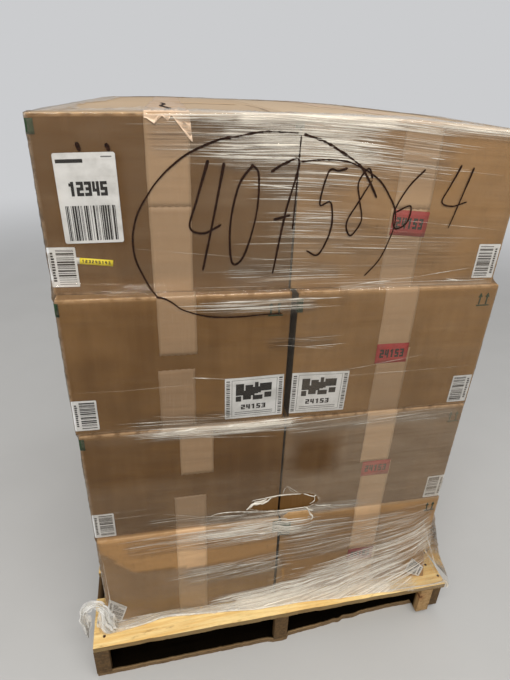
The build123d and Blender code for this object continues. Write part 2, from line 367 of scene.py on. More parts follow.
def wood(name, pale, warm, dark, along, wear=0.3, shade=0.0, edge=None, marked=False):
    """Sawn softwood with its grain along x or y. wear is how grey and dirty it is, shade how much painted shade
    darkens it inside the pallet, edge the darker colour of its upright sawn sides, partly their own and partly
    painted shade. A marked board says itself how far inside it is."""
    p = Paint(name)
    place = p.place()
    grain_place = p.stretch(place, (0.05, 1.0, 1.0) if along == "x" else (1.0, 0.05, 1.0))
    wander = p.noise(p.stretch(place, (3, 3, 3)), 1.0, 2.0, 0.5)
    aside = p.node("ShaderNodeCombineXYZ", None, X=0.0, Y=p.times(wander, 0.03), Z=0.0).outputs[0]
    shifted = p.node("ShaderNodeVectorMath", {"operation": "ADD"}, _0=grain_place, _1=aside).outputs[0]
    rings = p.noise(shifted, 95.0, 4.0, 0.6)
    fine = p.noise(grain_place, 700.0, 3.0, 0.7)
    stain = p.noise(place, 9.0, 4.0, 0.65)
    marks = p.noise(p.stretch(place, (0.3, 1.0, 1.0)), 55.0, 3.0, 0.7)
    colour = p.mix(p.band(rings, 0.38, 0.66), pale, warm)
    colour = p.mix(p.times(p.band(fine, 0.45, 0.75), 0.32), colour, dark)
    colour = p.mix(p.times(p.band(marks, 0.59, 0.71), 0.5), colour, dark)
    colour = p.mix(p.times(p.band(stain, 0.45, 0.75), wear), colour, srgb(84, 72, 56))
    knot_place = p.stretch(place, (0.45, 1.0, 1.0) if along == "x" else (1.0, 0.45, 1.0))
    cells = p.node("ShaderNodeTexVoronoi", {"feature": "F1"}, Vector=knot_place, Scale=7.0).outputs["Distance"]
    colour = p.mix(p.band(cells, 0.04, 0.16, 0.35, 0.0), colour, srgb(150, 92, 44))
    colour = p.mix(p.band(cells, 0.030, 0.055, 0.85, 0.0), colour, srgb(92, 52, 26))
    # Partly the sawn sides' own colour and partly painted shade: upright faces take the darker edge colours, as if
    # lit only from above
    if edge:
        facing = p.axes(p.node("ShaderNodeNewGeometry").outputs["Normal"])
        upright = p.band(p.math("ABSOLUTE", facing[2]), 0.25, 0.6, 0.85, 0.0)
        colour = p.mix(upright, colour, p.mix(p.band(fine, 0.35, 0.7), *edge))
    height = p.plus(p.times(fine, 0.8), p.times(rings, 0.6))
    lit = p.surface(colour, p.band(fine, 0.3, 0.7, 0.68, 0.86), p.bump(height, 0.45, 0.0012), 0.25)
    if not shade:
        return p.finish(lit)
    # Painted shade: inside the pallet the wood is blended into a near-black diffuse, as if no light reached it
    if marked:
        inside = p.value("inner")
    else:
        spot = p.axes(place)
        side = p.math("SUBTRACT", PALLET_HALF_WIDE * MM, p.math("ABSOLUTE", spot[0]))
        end = p.math("SUBTRACT", PALLET_HALF_LONG * MM, p.math("ABSOLUTE", spot[1]))
        inside = p.times(p.band(side, 0.001, 0.02), p.band(end, 0.010, 0.024))
    unlit = p.node("ShaderNodeBsdfDiffuse", None, Color=srgb(4, 3, 2)).outputs[0]
    return p.finish(p.blend(p.times(inside, shade), lit, unlit))


def nail_steel():
    p = Paint("nail_steel")
    rust = p.noise(p.place(), 240.0, 3.0, 0.7)
    colour = p.mix(p.band(rust, 0.3, 0.5), srgb(70, 60, 52), srgb(78, 46, 30))
    return p.finish(p.surface(colour, p.band(rust, 0.3, 0.7, 0.4, 0.8), metallic=0.7))


def stretch_film():
    """Clear film: see-through, a warm veil where it is layered, fine white drawn lines that are partly its own
    whitening and partly painted glints, and gloss on its creases.
    """
    p = Paint("stretch_film")
    flow = p.flow("along", "rise")
    thin = p.streaks(flow, 6.0, 560.0)
    lines = p.streaks(flow, 3.2, 240.0)
    furrows = p.streaks(flow, 2.6, 170.0, 3.0, 0.6)
    broad = p.streaks(flow, 3.5, 75.0, 2.0, 0.6)
    patch = p.streaks(flow, 7.0, 24.0, 3.0, 0.6)
    dense = p.value("dense")
    # The drawn lines are white paint: partly the film's own stretch whitening, partly painted glints
    drawn = p.plus(p.times(p.band(lines, 0.56, 0.66), 0.72), p.times(p.band(thin, 0.60, 0.70), 0.45))
    shows = p.times(p.band(dense, 0.08, 1.0), p.band(patch, 0.36, 0.60, 0.25, 1.0))
    veil = p.times(p.value("haze"), p.band(patch, 0.25, 0.75, 0.09, 0.15))
    milk = p.times(p.value("milk"), p.band(furrows, 0.36, 0.60, 1.0, 0.45))
    veil = p.plus(veil, p.plus(milk, p.band(patch, 0.4, 0.7, 0.002, 0.010)))
    seen = p.plus(veil, p.times(drawn, shows), True)
    height = p.plus(p.plus(p.times(thin, 0.25), p.times(lines, 0.8)), p.times(broad, 1.6))
    normal = p.bump(height, p.plus(p.times(dense, 0.85), 0.08, True), 0.0022)
    whiter = p.math("MAXIMUM", dense, p.value("milk"))
    body = p.surface(p.mix(whiter, srgb(214, 190, 160), srgb(250, 241, 224)), 0.4, normal, 0.2)
    dimmed = p.times(p.band(furrows, 0.55, 0.68), p.times(dense, 0.55))
    clear = p.clear(p.mix(dimmed, srgb(253, 252, 250), srgb(176, 160, 142)))
    shine = p.node("ShaderNodeBsdfGlossy", None, Color=(1.0, 0.96, 0.90), Roughness=0.09, Normal=normal).outputs[0]
    glance = p.node("ShaderNodeFresnel", None, IOR=1.33, Normal=normal).outputs[0]
    share = p.times(glance, p.plus(0.5, p.times(dense, 1.6)), True)
    return p.finish(p.blend(share, p.blend(seen, clear, body), shine))


def film_pleat_and_glint():
    """Doubled and rolled film, where it turns white, streaked along its length; on the thin ribbons the white is
    partly painted glints.
    """
    p = Paint("film_pleat_and_glint")
    flow = p.flow("run", "turn")
    streak, fine = p.streaks(flow, 34.0, 2.4), p.streaks(flow, 80.0, 7.0)
    seen = p.times(p.value("strength"), p.band(streak, 0.30, 0.55, 0.55, 1.0), True)
    normal = p.bump(p.plus(streak, p.times(fine, 0.6)), 0.5, 0.0010)
    colour = p.mix(p.band(fine, 0.45, 0.75), srgb(246, 240, 226), srgb(206, 190, 164))
    return p.finish(p.blend(seen, p.clear((1.0, 1.0, 1.0)), p.surface(colour, 0.24, normal)))


def bunched_film():
    """Crumpled film: clear where it is seen flat on, white along its folds."""
    p = Paint("bunched_film")
    flow = p.flow("run", "turn")
    folds, fine = p.streaks(flow, 20.0, 2.6), p.streaks(flow, 55.0, 8.0)
    normal = p.bump(p.plus(p.times(folds, 2.0), fine), 0.5, 0.0022)
    facing = p.node("ShaderNodeLayerWeight", None, Blend=0.5, Normal=normal).outputs["Facing"]
    seen = p.plus(p.band(facing, 0.10, 0.65, 0.34, 1.0), p.band(folds, 0.50, 0.62, 0.0, 0.6), True)
    seen = p.times(seen, p.value("strength"), True)
    body = p.surface(srgb(236, 234, 228), 0.22, normal)
    return p.finish(p.blend(seen, p.clear(srgb(250, 249, 246)), body))


BOARD = cardboard()
TAPE = packing_tape("packing_tape", srgb(138, 110, 80), srgb(226, 190, 146))
TORN_TAPE = packing_tape("torn_tape", srgb(184, 150, 118), srgb(232, 206, 178))
LABEL_WHITE = paper("label_white", srgb(224, 224, 223), srgb(200, 200, 198))
LABEL_INK = paper("label_ink", srgb(14, 13, 13), srgb(34, 32, 31), 0.6)
LABEL_GREY = paper("label_grey", srgb(104, 104, 102), srgb(128, 127, 124), 0.5)
STICKER_RED = paper("sticker_red", srgb(166, 40, 42), srgb(142, 42, 42))
STICKER_YELLOW = paper("sticker_yellow", srgb(250, 230, 28), srgb(232, 212, 40))
STRIP_ORANGE = paper("strip_orange", srgb(196, 156, 98), srgb(176, 136, 82))
STICKER_GREEN = paper("sticker_green", srgb(20, 56, 22), srgb(34, 48, 18), 0.6)
INK = marker_ink()
STEEL = nail_steel()
FILM = stretch_film()
PLEAT_AND_GLINT = film_pleat_and_glint()
BUNCHED = bunched_film()
# The deck's darker edge colours are partly painted shade on its upright sides
DECK_WOOD = wood(
    "deck_pine", srgb(255, 226, 160), srgb(240, 198, 124), srgb(164, 116, 62), "x", 0.12, 0.0,
    (srgb(112, 88, 56), srgb(72, 56, 36)),
)
# The bottom boards and stringers carry painted shade where they lie inside the pallet
BOTTOM_WOOD = wood(
    "bottom_board_wood", srgb(150, 124, 88), srgb(124, 98, 66), srgb(62, 48, 34), "x", 0.6, 0.99,
    (srgb(136, 108, 74), srgb(70, 54, 38)), True,
)
FRAME_WOOD = wood("stringer_wood", srgb(104, 80, 50), srgb(82, 62, 38), srgb(46, 34, 22), "y", 0.55, 0.99)
PALE_FRAME_WOOD = wood(
    "stringer_pale_wood", srgb(178, 144, 98), srgb(150, 118, 76), srgb(104, 76, 48), "y", 0.25, 0.99,
)


# Cartons

def facets(u, v, corners, triangles):
    """Heights of a creased panel at (u, v): flat triangles between the corners (u, v, height)."""
    height = np.zeros(np.broadcast(u, v).shape)
    for triangle in triangles:
        (ax, ay, ah), (bx, by, bh), (cx, cy, ch) = (corners[i] for i in triangle)
        whole = (bx - ax) * (cy - ay) - (cx - ax) * (by - ay)
        s = ((u - ax) * (cy - ay) - (cx - ax) * (v - ay)) / whole
        t = ((bx - ax) * (v - ay) - (u - ax) * (by - ay)) / whole
        inside = (s >= -1e-6) & (t >= -1e-6) & (s + t <= 1 + 1e-6)
        height = np.where(inside, ah + s * (bh - ah) + t * (ch - ah), height)
    return height


# The buckled front of the bottom left carton
BUCKLE_CORNERS = (
    (0, 0, 0), (455, 0, 0), (455, 312, 0), (0, 312, 0), (0, 279, 0), (77, 202, 12), (196, 195, 13),
    (330, 178, 9), (84, 45, 8), (41, 150, 5), (455, 160, 2),
)
BUCKLE_TRIANGLES = (
    (3, 4, 5), (3, 5, 6), (3, 6, 2), (6, 7, 2), (7, 10, 2), (4, 9, 5), (4, 0, 9), (9, 0, 8), (9, 8, 5),
    (5, 8, 6), (6, 8, 7), (8, 0, 1), (8, 1, 7), (7, 1, 10),
)

# The crease across that front, as (u, v)
CREASE = ((-10, 77, 196, 274, 380, 470), (285, 202, 195, 182, 165, 158))


class Carton:
    """One carton, read from its node: where it stands, its turn, and how its faces swell and crease."""

    def __init__(self, tier, row, side):
        self.tier, self.row, self.side = tier, row, side
        self.node = f"carton_tier_{tier}_{row}_{side}"
        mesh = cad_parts[self.node].data
        faces = [f for f in mesh.polygons if f.normal.y < -0.99]
        normal = max(faces, key=lambda f: f.area).normal
        self.inward = np.array((-normal.x, -normal.y, 0.0)) / math.hypot(normal.x, normal.y)
        self.along = np.array((self.inward[1], -self.inward[0], 0.0))
        points = np.array([vertex.co for vertex in mesh.vertices]) / MM
        low, high = points[:, 2].min(), points[:, 2].max()
        top = points[points[:, 2] > high - 0.05]
        us, ws = top @ self.along, top @ self.inward
        self.size = np.array((np.ptp(us), np.ptp(ws), high - low))
        self.origin = self.along * us.min() + self.inward * ws.min() + np.array((0, 0, low))

    def lies(self):
        """How far along the tier and how deep this carton starts."""
        return (
            0.0 if self.side == "left" else self.size[0] + gaps[self.tier],
            0.0 if self.row == "front" else self.size[1] + ROW_GAP,
        )

    def push(self, u, w, v):
        """How the surface is moved at a point of the plain box: along, inward and up."""
        width, length, height = self.size
        u, w, v = np.broadcast_arrays(*(np.asarray(a, float) for a in (u, w, v)))
        seed = self.tier * 7 + (3 if self.side == "left" else 0) + (5 if self.row == "front" else 0)
        du, dw, dv = np.zeros(u.shape), np.zeros(u.shape), np.zeros(u.shape)

        def swell(a, size):
            crown = np.clip(16 * (a / size) * (1 - a / size) * (v / height) * (1 - v / height), 0, 1) ** 0.6
            return crown * (BULGE + BULGE_VARIES * noise(a / 120 + seed, v / 120, seed))

        front, back = w < ON_FACE, w > length - ON_FACE
        left, right = u < ON_FACE, u > width - ON_FACE
        if self.row == "front":
            out = swell(u, width)
            if self.tier == TIER_COUNT and self.side == "left":
                out = facets(u, v, BUCKLE_CORNERS, BUCKLE_TRIANGLES) + 0.3 * out
            elif self.tier == TIER_COUNT:
                out = out * 2.2
            dw -= np.where(front, out, 0)
        else:
            dw += np.where(back, swell(u, width), 0)
        if self.side == "left":
            du -= np.where(left, swell(w, length), 0)
        else:
            du += np.where(right, swell(w, length), 0)
        if self.tier == TIER_COUNT and self.row == "front":
            from_corner = u if self.side == "left" else width - u
            share = np.clip(1 - from_corner / CRUSH_ALONG_FRONT - w / CRUSH_ALONG_SIDE - v / CRUSH_UP, 0, 1)
            du += CRUSHED_FOOT[self.side][0] * share
            dw += CRUSHED_FOOT[self.side][1] * share
        if self.tier == 1:
            start_u, start_w = self.lies()
            dv += top_rise(u + start_u, w + start_w) * np.clip(v / height, 0, 1)
            dv += np.where(v > height - ON_FACE, FLAP_RISE * self.flap_spring(u, w), 0)
        if self.tier == TIER_COUNT and self.row == "front" and self.side == "right":
            lip = ramp(u, 2, 14) * (1 - ramp(u, 66, 92)) * (1 - ramp(w, 2, 9))
            up = ramp(v, height - 26, height - 1)
            dv += LIP_UP * lip * up
            dw -= LIP_OUT * lip * ramp(v, height - 70, height - 26) * (1 - 0.65 * up)
        return du, dw, dv

    def flap_spring(self, u, w):
        """The two top flaps spring up a little on each side of their seam."""
        width, length, _ = self.size
        return np.sin(math.pi * np.clip(u / width, 0, 1)) ** 2 * np.sin(math.pi * np.clip(w / length, 0, 1)) ** 0.5

    def skin(self, u, w, v, out=0.0):
        """Points on the carton's real surface, or out millimetres off it."""
        box = np.stack(np.broadcast_arrays(u, w, v), -1).astype(float)
        du, dw, dv = self.push(box[..., 0], box[..., 1], box[..., 2])
        local = rounded(box, self.size, EDGE_ROUND, out) + np.stack((du, dw, dv), -1)
        return (
            self.origin + local[..., :1] * self.along + local[..., 1:2] * self.inward
            + local[..., 2:] * np.array((0.0, 0.0, 1.0))
        )


cartons = {
    (tier, row, side): Carton(tier, row, side)
    for tier in range(1, TIER_COUNT + 1) for row in ("front", "back") for side in ("left", "right")
}
gaps = {}
for tier in range(1, TIER_COUNT + 1):
    pair = cartons[tier, "front", "left"], cartons[tier, "front", "right"]
    gaps[tier] = float((pair[1].origin - pair[0].origin) @ pair[0].along - pair[0].size[0])
CARTON = cartons[1, "front", "left"].size
TIER_LONG = 2 * CARTON[1] + ROW_GAP
DECK_TOP = cartons[TIER_COUNT, "front", "left"].origin[2]
LOAD_TOP = DECK_TOP + TIER_COUNT * CARTON[2]


def tier_span(tier):
    return 2 * CARTON[0] + gaps[tier]


def tier_floor(tier):
    return DECK_TOP + (TIER_COUNT - tier) * CARTON[2]


def top_rise(u, w):
    """The load's top arches a little along its front and more towards its back."""
    arch = np.clip(1 - (2 * np.asarray(u, float) / tier_span(1) - 1) ** 2, 0, 1)
    depth = ramp(w, 0, TIER_LONG * 0.9)
    corner = ramp(u, 650, tier_span(1)) * (1 - ramp(w, 0, 350))
    return 9 * arch * (1 - depth) + 11 * arch ** 0.6 * depth - 7 * corner


def steps(size, pitch, near=(0.0, 1.2, 2.6, 4.2, 7.0)):
    """Grid lines across a carton's face, close together at its two edges."""
    middle = np.linspace(near[-1], size - near[-1], max(2, int(size / pitch)))
    return np.concatenate((near[:-1], middle, [size - n for n in reversed(near[:-1])]))


# Across the flaps' seam and beside a face's rim, where the board's grid is closer
SEAM_LINES = np.array((-1.8, -1.2, 1.2, 1.8))
RIM_LINE = 3.4
RIM_CREASE = 0.9
SEAM_DEEP = 2.0


def carton_mesh(carton):
    """A carton's board, swollen and creased, with its seam, its rubbed edges and its tones, with painted light and
    shade on the bottom tier's creased front, painted shade in the gap between front cartons and a painted sheen on
    the top.
    """
    width, length, height = carton.size
    fine = 10 if carton.row == "front" else 22
    lines = (
        np.sort(np.append(steps(width, fine + 2), width / 2 + SEAM_LINES)),
        steps(length, 24),
        np.sort(np.append(steps(height, fine), (RIM_LINE, height - RIM_LINE))),
    )
    index, points, faces = {}, [], []

    def corner(i, j, k):
        if (i, j, k) not in index:
            index[i, j, k] = len(points)
            points.append((lines[0][i], lines[1][j], lines[2][k]))
        return index[i, j, k]

    last = [len(line) - 1 for line in lines]
    for axis, first, second in ((0, 1, 2), (1, 2, 0), (2, 0, 1)):
        for level in (0, last[axis]):
            for a in range(last[first]):
                for b in range(last[second]):
                    ring = []
                    for da, db in ((0, 0), (1, 0), (1, 1), (0, 1)):
                        spot = [0, 0, 0]
                        spot[axis], spot[first], spot[second] = level, a + da, b + db
                        ring.append(corner(*spot))
                    faces.append(ring if level else ring[::-1])
    box = np.array(points)
    skin = carton.skin(box[:, 0], box[:, 1], box[:, 2])
    on_end = (box[:, 1] < 1e-6) | (box[:, 1] > length - 1e-6)
    rim = np.minimum(abs(box[:, 2] - RIM_LINE), abs(box[:, 2] - (height - RIM_LINE))) < 0.1
    inward = np.where(box[:, 1] < length / 2, 1.0, -1.0)[:, None] * carton.inward
    skin = skin + np.where(on_end & rim, RIM_CREASE, 0.0)[:, None] * inward
    in_seam = (abs(box[:, 0] - width / 2) < 1.3) & (box[:, 2] > height - 1e-6)
    skin[:, 2] -= np.where(in_seam, SEAM_DEEP, 0.0)
    near_edge = np.sort(np.minimum(box, carton.size - box), axis=1)[:, 1]
    shape = Shape()
    tone = BOARD_TONE[carton.tier, carton.side] if carton.row == "front" else BACK_TONE
    if carton.row == "front":
        tone = tone + (BACK_TONE - tone) * ramp(box[:, 1], 20, length * 0.8)
    if carton.tier == TIER_COUNT and carton.row == "front":
        if carton.side == "left":
            # Painted light above the crease, where the buckled board faces up, and painted shade below it
            tone = tone + np.where(box[:, 2] > np.interp(box[:, 0], *CREASE), 0.25, -0.30) * (box[:, 1] < 1)
        else:
            tone = tone + 0.55 * ramp(box[:, 0], 170, 400) * ramp(box[:, 2], 40, 220)
    # Painted sheen: the top tier's top faces are marked for the paler top colour
    top_sheen = (carton.tier == 1) * (box[:, 2] > height - 0.5) * (0.85 if carton.side == "right" else 0.70)
    from_seam = width - box[:, 0] if carton.side == "left" else box[:, 0]
    # Painted shade: the faces in the gap between the two front cartons are darkened
    in_joint = (from_seam < 0.6) & (box[:, 2] < height - 4) & (carton.row == "front")
    worn = np.where(from_seam < 4.5, 0, np.clip(1 - near_edge / 7, 0, 1))
    shape.add(skin, faces, tone=tone - 0.6 * in_joint, edge=worn, pale=top_sheen, joint=1.0 * in_joint)
    return shape.build(f"{carton.node}_board", BOARD)


for carton in cartons.values():
    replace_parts(carton_mesh(carton), carton.node)


# Tape

def strip_path(carton, top, front_tail, back_tail):
    """(w, v) of a strip from its front tail, over the carton and down its back, as the surface runs."""
    length, height = carton.size[1:]
    near = (0.0, 1.2, 2.6, 4.2, 7.0)
    down = sorted({*np.linspace(7, front_tail, 14), *near}, reverse=True)
    back = sorted({*np.linspace(7, back_tail, 8), *near})
    flat = steps(length, 30)
    path = [(0.0, height - d) for d in down] + [(w, height) for w in flat[1:-1]]
    path += [(length, height - d) for d in back]
    return [(w, v if top else height - v) for w, v in path]


# How pale the tape on each carton is: partly the tape's own tone and partly painted light and shade on each tier's
# front
TAPE_TONE = {
    (1, "left"): 0.26, (1, "right"): 0.36, (2, "left"): 0.17, (2, "right"): 0.26, (3, "left"): 0.22,
    (3, "right"): 0.44, (4, "left"): 1.0, (4, "right"): 0.9,
}


def tape_strip(shape, carton, offset, top, front_tail, back_tail):
    seed = carton.tier * 11 + 5 * top + (carton.side == "left") + 2 * (carton.row == "front")
    path = np.array(strip_path(carton, top, front_tail, back_tail))
    across = np.linspace(-TAPE_WIDTH / 2, TAPE_WIDTH / 2, 13)
    w = np.repeat(path[:, :1], len(across), 1)
    v = np.repeat(path[:, 1:], len(across), 1)
    edge = 0.5 * noise(np.arange(len(path)) * 0.7, seed, seed)[:, None]
    u = carton.size[0] / 2 + offset + across[None, :] + edge
    teeth = np.where(np.arange(len(across)) % 2, 1.6, 0.0)
    for end in (0, -1):
        v[end] += teeth if top else -teeth
    from_end = np.abs(v - v[:1].mean()) + w
    rumple = 0.22 * ridges(u / 14, (w + v) / 60, seed) * ramp(from_end, 2, 26)
    points = carton.skin(u, w, v, TAPE_OUT + rumple + (0.07 if top else 0.0))
    tone = TAPE_TONE[carton.tier, carton.side] - (0.0 if top else 0.05)
    shaded = (carton.tier == TIER_COUNT) & (carton.side == "left") & (v < np.interp(u, *CREASE)) & (w < 1)
    shape.grid(points, tone=np.where(shaded, 0.42, tone))


for tier in range(1, TIER_COUNT + 1):
    shape = Shape()
    for row in ("front", "back"):
        for side in ("left", "right"):
            plain = ((0, BACK_TAIL), (0, BACK_TAIL))
            (top_off, top_tail), (low_off, low_tail) = FRONT_TAPES[tier, side] if row == "front" else plain
            if 0 < CARTON[2] - top_tail - low_tail < 8:
                top_tail += CARTON[2] - top_tail - low_tail + 3
            tape_strip(shape, cartons[tier, row, side], top_off, True, top_tail, BACK_TAIL)
            tape_strip(shape, cartons[tier, row, side], low_off, False, low_tail, BACK_TAIL)
    piece = shape.build(f"tape_tier_{tier}", TAPE, solid=0.06)
    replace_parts(piece, f"carton_tape_tier_{tier}")


# Labels, stickers and marks on the front

def on_front(tier, u, v, out):
    """Points on a tier's front. A place in the gap between two cartons goes to the nearer one."""
    u, v = np.broadcast_arrays(np.asarray(u, float), np.asarray(v, float))
    second = CARTON[0] + gaps[tier]
    parts = []
    for side, start in (("left", 0.0), ("right", second)):
        carton = cartons[tier, "front", side]
        parts.append(carton.skin(np.clip(u - start, 0, CARTON[0]), 0 * u, np.clip(v, 0, CARTON[2]), out))
    right = (u > CARTON[0] + gaps[tier] / 2)[..., None]
    return np.where(right, parts[1], parts[0])


class Stuck:
    """A flat thing stuck to a tier's front. (x, y) on it turns into (u, v) by its corner and tilt, or, where the
    board under it is bent, by its four corners: bottom left, bottom right, top right, top left."""

    def __init__(self, tier, u, v, width, height, tilt=0.0, corners=None):
        self.tier, self.u, self.v, self.width, self.height = tier, u, v, width, height
        self.turn, self.corners = math.radians(tilt), corners

    def spot(self, x, y):
        if self.corners:
            s, t = x / self.width, y / self.height
            (au, av), (bu, bv), (cu, cv), (du, dv) = self.corners
            return (
                (au * (1 - s) + bu * s) * (1 - t) + (du * (1 - s) + cu * s) * t,
                (av * (1 - s) + bv * s) * (1 - t) + (dv * (1 - s) + cv * s) * t,
            )
        x, y = x - self.width / 2, y - self.height / 2
        c, s = math.cos(self.turn), math.sin(self.turn)
        return self.u + self.width / 2 + x * c - y * s, self.v + self.height / 2 + x * s + y * c

    def rectangle(self, shape, x0, y0, x1, y1, out, round_by=0.0):
        lines = []
        for low, high in ((x0, x1), (y0, y1)):
            bends = [round_by * k for k in (0.0, 0.12, 0.35, 0.65, 1.0)] if round_by else [0.0]
            inner = np.linspace(low + round_by, high - round_by, max(2, int((high - low) / 12) + 1))
            ends = [low + b for b in bends[:-1]], inner, [high - b for b in reversed(bends[:-1])]
            lines.append(np.concatenate(ends))
        x, y = np.meshgrid(lines[0], lines[1])
        if round_by:
            cx = np.clip(x, x0 + round_by, x1 - round_by)
            cy = np.clip(y, y0 + round_by, y1 - round_by)
            dx, dy = x - cx, y - cy
            far, longest = np.hypot(dx, dy), np.maximum(abs(dx), abs(dy))
            pull = np.where(far > 0, longest / np.where(far == 0, 1, far), 1)
            x, y = cx + dx * pull, cy + dy * pull
        u, v = self.spot(x, y)
        shape.grid(on_front(self.tier, u, v, out))

    def fill(self, shape, round_by=0.0):
        self.rectangle(shape, 0, 0, self.width, self.height, LABEL_OUT, round_by)


white, ink, grey, red, yellow, green = Shape(), Shape(), Shape(), Shape(), Shape(), Shape()
PRINT_OUT = LABEL_OUT + 0.06

# Stock sizes, width and height
BIG_LABEL = (102, 152)
SMALL_LABEL = (50, 76)
WIDE_LABEL = (131, 108)
RED_STICKER = (76, 49)


def barcode(sheet, x0, y0, x1, y1, upright, bars):
    """Plain bars of mixed widths that stand for nothing."""
    low, high = (x0, x1) if upright else (y0, y1)
    marks = [rng.choice((0.7, 0.7, 1.0, 1.6, 2.4)) for _ in range(2 * bars - 1)]
    scale = (high - low) / sum(marks)
    at = low
    for number, mark in enumerate(marks):
        if number % 2 == 0:
            ends = (at, y0, at + mark * scale, y1) if upright else (x0, at, x1, at + mark * scale)
            sheet.rectangle(ink, *ends, PRINT_OUT)
        at += mark * scale


def small_label(tier, u, v, tilt=0.0, column_left=True, corners=None):
    """A 2 by 3 inch label: bars lying across it and a column of small dark marks."""
    sheet = Stuck(tier, u, v, *SMALL_LABEL, tilt, corners)
    sheet.fill(white, 2.5)
    bars_at, at = (15, 5) if column_left else (4, 40)
    barcode(sheet, bars_at, 5, bars_at + 31, 71, False, 18)
    for k in range(11):
        sheet.rectangle(ink, at, 11 + k * 5.2, at + 4.6 + rng.choice((0, 1.2)), 14.4 + k * 5.2, PRINT_OUT)


# Thick upright numerals, each in a box one wide and one high, as bars (x0, y0, x1, y1)
BLOCK_DIGITS = {
    "1": ((0.34, 0, 0.78, 1), (0.08, 0.68, 0.34, 0.90)),
    "2": ((0, 0.77, 1, 1), (0.57, 0.61, 1, 0.77), (0, 0.39, 1, 0.61), (0, 0.23, 0.43, 0.39), (0, 0, 1, 0.23)),
    "3": ((0, 0.77, 1, 1), (0.57, 0.61, 1, 0.77), (0.15, 0.39, 1, 0.61), (0.57, 0.23, 1, 0.39), (0, 0, 1, 0.23)),
    "4": ((0, 0.50, 0.40, 1), (0, 0.29, 0.56, 0.50), (0.56, 0, 0.98, 1)),
    "5": ((0, 0.77, 1, 1), (0, 0.61, 0.43, 0.77), (0, 0.39, 1, 0.61), (0.57, 0.23, 1, 0.39), (0, 0, 1, 0.23)),
}


def block_number(sheet, shape, digits, x, y, wide, tall, pitch):
    for place, character in enumerate(digits):
        for x0, y0, x1, y1 in BLOCK_DIGITS[character]:
            left, low = x + place * pitch, y
            sheet.rectangle(shape, left + x0 * wide, low + y0 * tall, left + x1 * wide, low + y1 * tall, PRINT_OUT)


def wide_label(tier, u, v, tilt):
    """A plain label 5 inches wide: a frame line, end columns of grey marks and blank blocks."""
    sheet = Stuck(tier, u, v, *WIDE_LABEL, tilt)
    sheet.fill(white, 1.5)
    for x in (3, 120):
        for k in range(20):
            length = rng.choice((2.2, 2.8, 3.4))
            sheet.rectangle(ink if k % 2 else grey, x, 5 + k * 4.9, x + 8, 5 + k * 4.9 + length, PRINT_OUT)
    for ends in ((15, 6, 116, 7), (15, 101, 116, 102), (15, 6, 16, 102), (115, 6, 116, 102)):
        sheet.rectangle(grey, *ends, PRINT_OUT)
    for left, low, right, high in (
        (24, 62, 42, 92), (45, 72, 62, 88), (66, 64, 74, 94), (77, 70, 104, 90), (24, 46, 36, 60), (40, 50, 58, 68),
        (62, 48, 84, 60), (88, 52, 104, 66), (42, 60, 66, 74), (58, 66, 80, 82),
    ):
        sheet.rectangle(ink, left, low, right, high, PRINT_OUT)
    for y in (11, 16):
        sheet.rectangle(grey, 22, y, 108, y + 1.8, PRINT_OUT)
    block_number(sheet, ink, "24153", 36, 24, 9.0, 13, 11.6)


big = Stuck(1, 35, 100, *BIG_LABEL, 1.0)
big.fill(white, 4)
barcode(big, 9, 5, 93, 66, True, 25)
block_number(big, ink, "12345", 19, 82, 11.6, 24, 13.2)
big.rectangle(ink, 4, 136, 48, 142, PRINT_OUT)
big.rectangle(grey, 78, 144, 96, 146, PRINT_OUT)

for tier, u, v, left in (
    (1, 1, 17, True), (1, 856, 15, False), (2, 1, 13, True), (2, 866, 8, False), (3, 1, 6, True),
    (3, 862, 7, False),
):
    small_label(tier, u, v, 0, left)
small_label(4, 0, 0, corners=((1, 40), (37, 13), (52, 62), (8, 98)))
small_label(4, 0, 0, column_left=False, corners=((857, 20), (899, 2), (911, 36), (877, 72)))
wide_label(2, 319, 13, 0.5)
wide_label(2, 468, 13, -0.5)

for tier, u, v, tilt in ((1, 651, 107, -3), (2, 656, 134, 0), (3, 665, 112, 0), (4, 663, 108, 0)):
    sticker = Stuck(tier, u, v, *RED_STICKER, tilt)
    sticker.fill(red)
    block_number(sticker, ink, "24153", 9, 14, 9.4, 21, 12.0)

strip = Stuck(1, 43, 59, 72, 12, -5.6)
strip.rectangle(white, 0, 0, 13, 12, LABEL_OUT)
strip.rectangle(yellow, 13, 0, 72, 12, LABEL_OUT)
block_number(strip, ink, "123245143", 17, 3.2, 3.8, 5.8, 5.8)


def arrow(tier, u, v, width, height):
    """A plain upward arrow."""
    sheet = Stuck(tier, u, v, width, height)
    sheet.rectangle(green, width * 0.34, 0, width * 0.66, height * 0.72, LABEL_OUT)
    tip = [sheet.spot(*p) for p in ((0, height * 0.62), (width, height * 0.62), (width / 2, height))]
    green.add(on_front(tier, [p[0] for p in tip], [p[1] for p in tip], LABEL_OUT), [(0, 1, 2)])


for tier, u, v in ((1, 876, 262), (2, 876, 264), (3, 874, 262), (4, 874, 266), (2, 406, 262)):
    for shift in (0, 17):
        arrow(tier, u + shift, v + 4, 11, 27)
    Stuck(tier, u, v, 31, 3).fill(green)


def corner_patch(tier, side, front_reach, side_reach, v0, v1):
    """A green patch folded round a carton's upright edge."""
    carton = cartons[tier, "front", side]
    run = np.array([-side_reach, -side_reach / 2, -4.2, -2.6, -1.2, 0, 1.2, 2.6, 4.2, front_reach / 2, front_reach])
    a, v = np.meshgrid(run, np.linspace(v0, v1, 5))
    u, w = np.clip(a, 0, None), np.clip(-a, 0, None)
    green.grid(carton.skin(u, w, v, LABEL_OUT))


for tier, front_reach, v0, v1 in ((1, 13, 280, 304), (2, 7, 279, 306), (3, 11, 276, 305)):
    corner_patch(tier, "left", front_reach, 14, v0, v1)
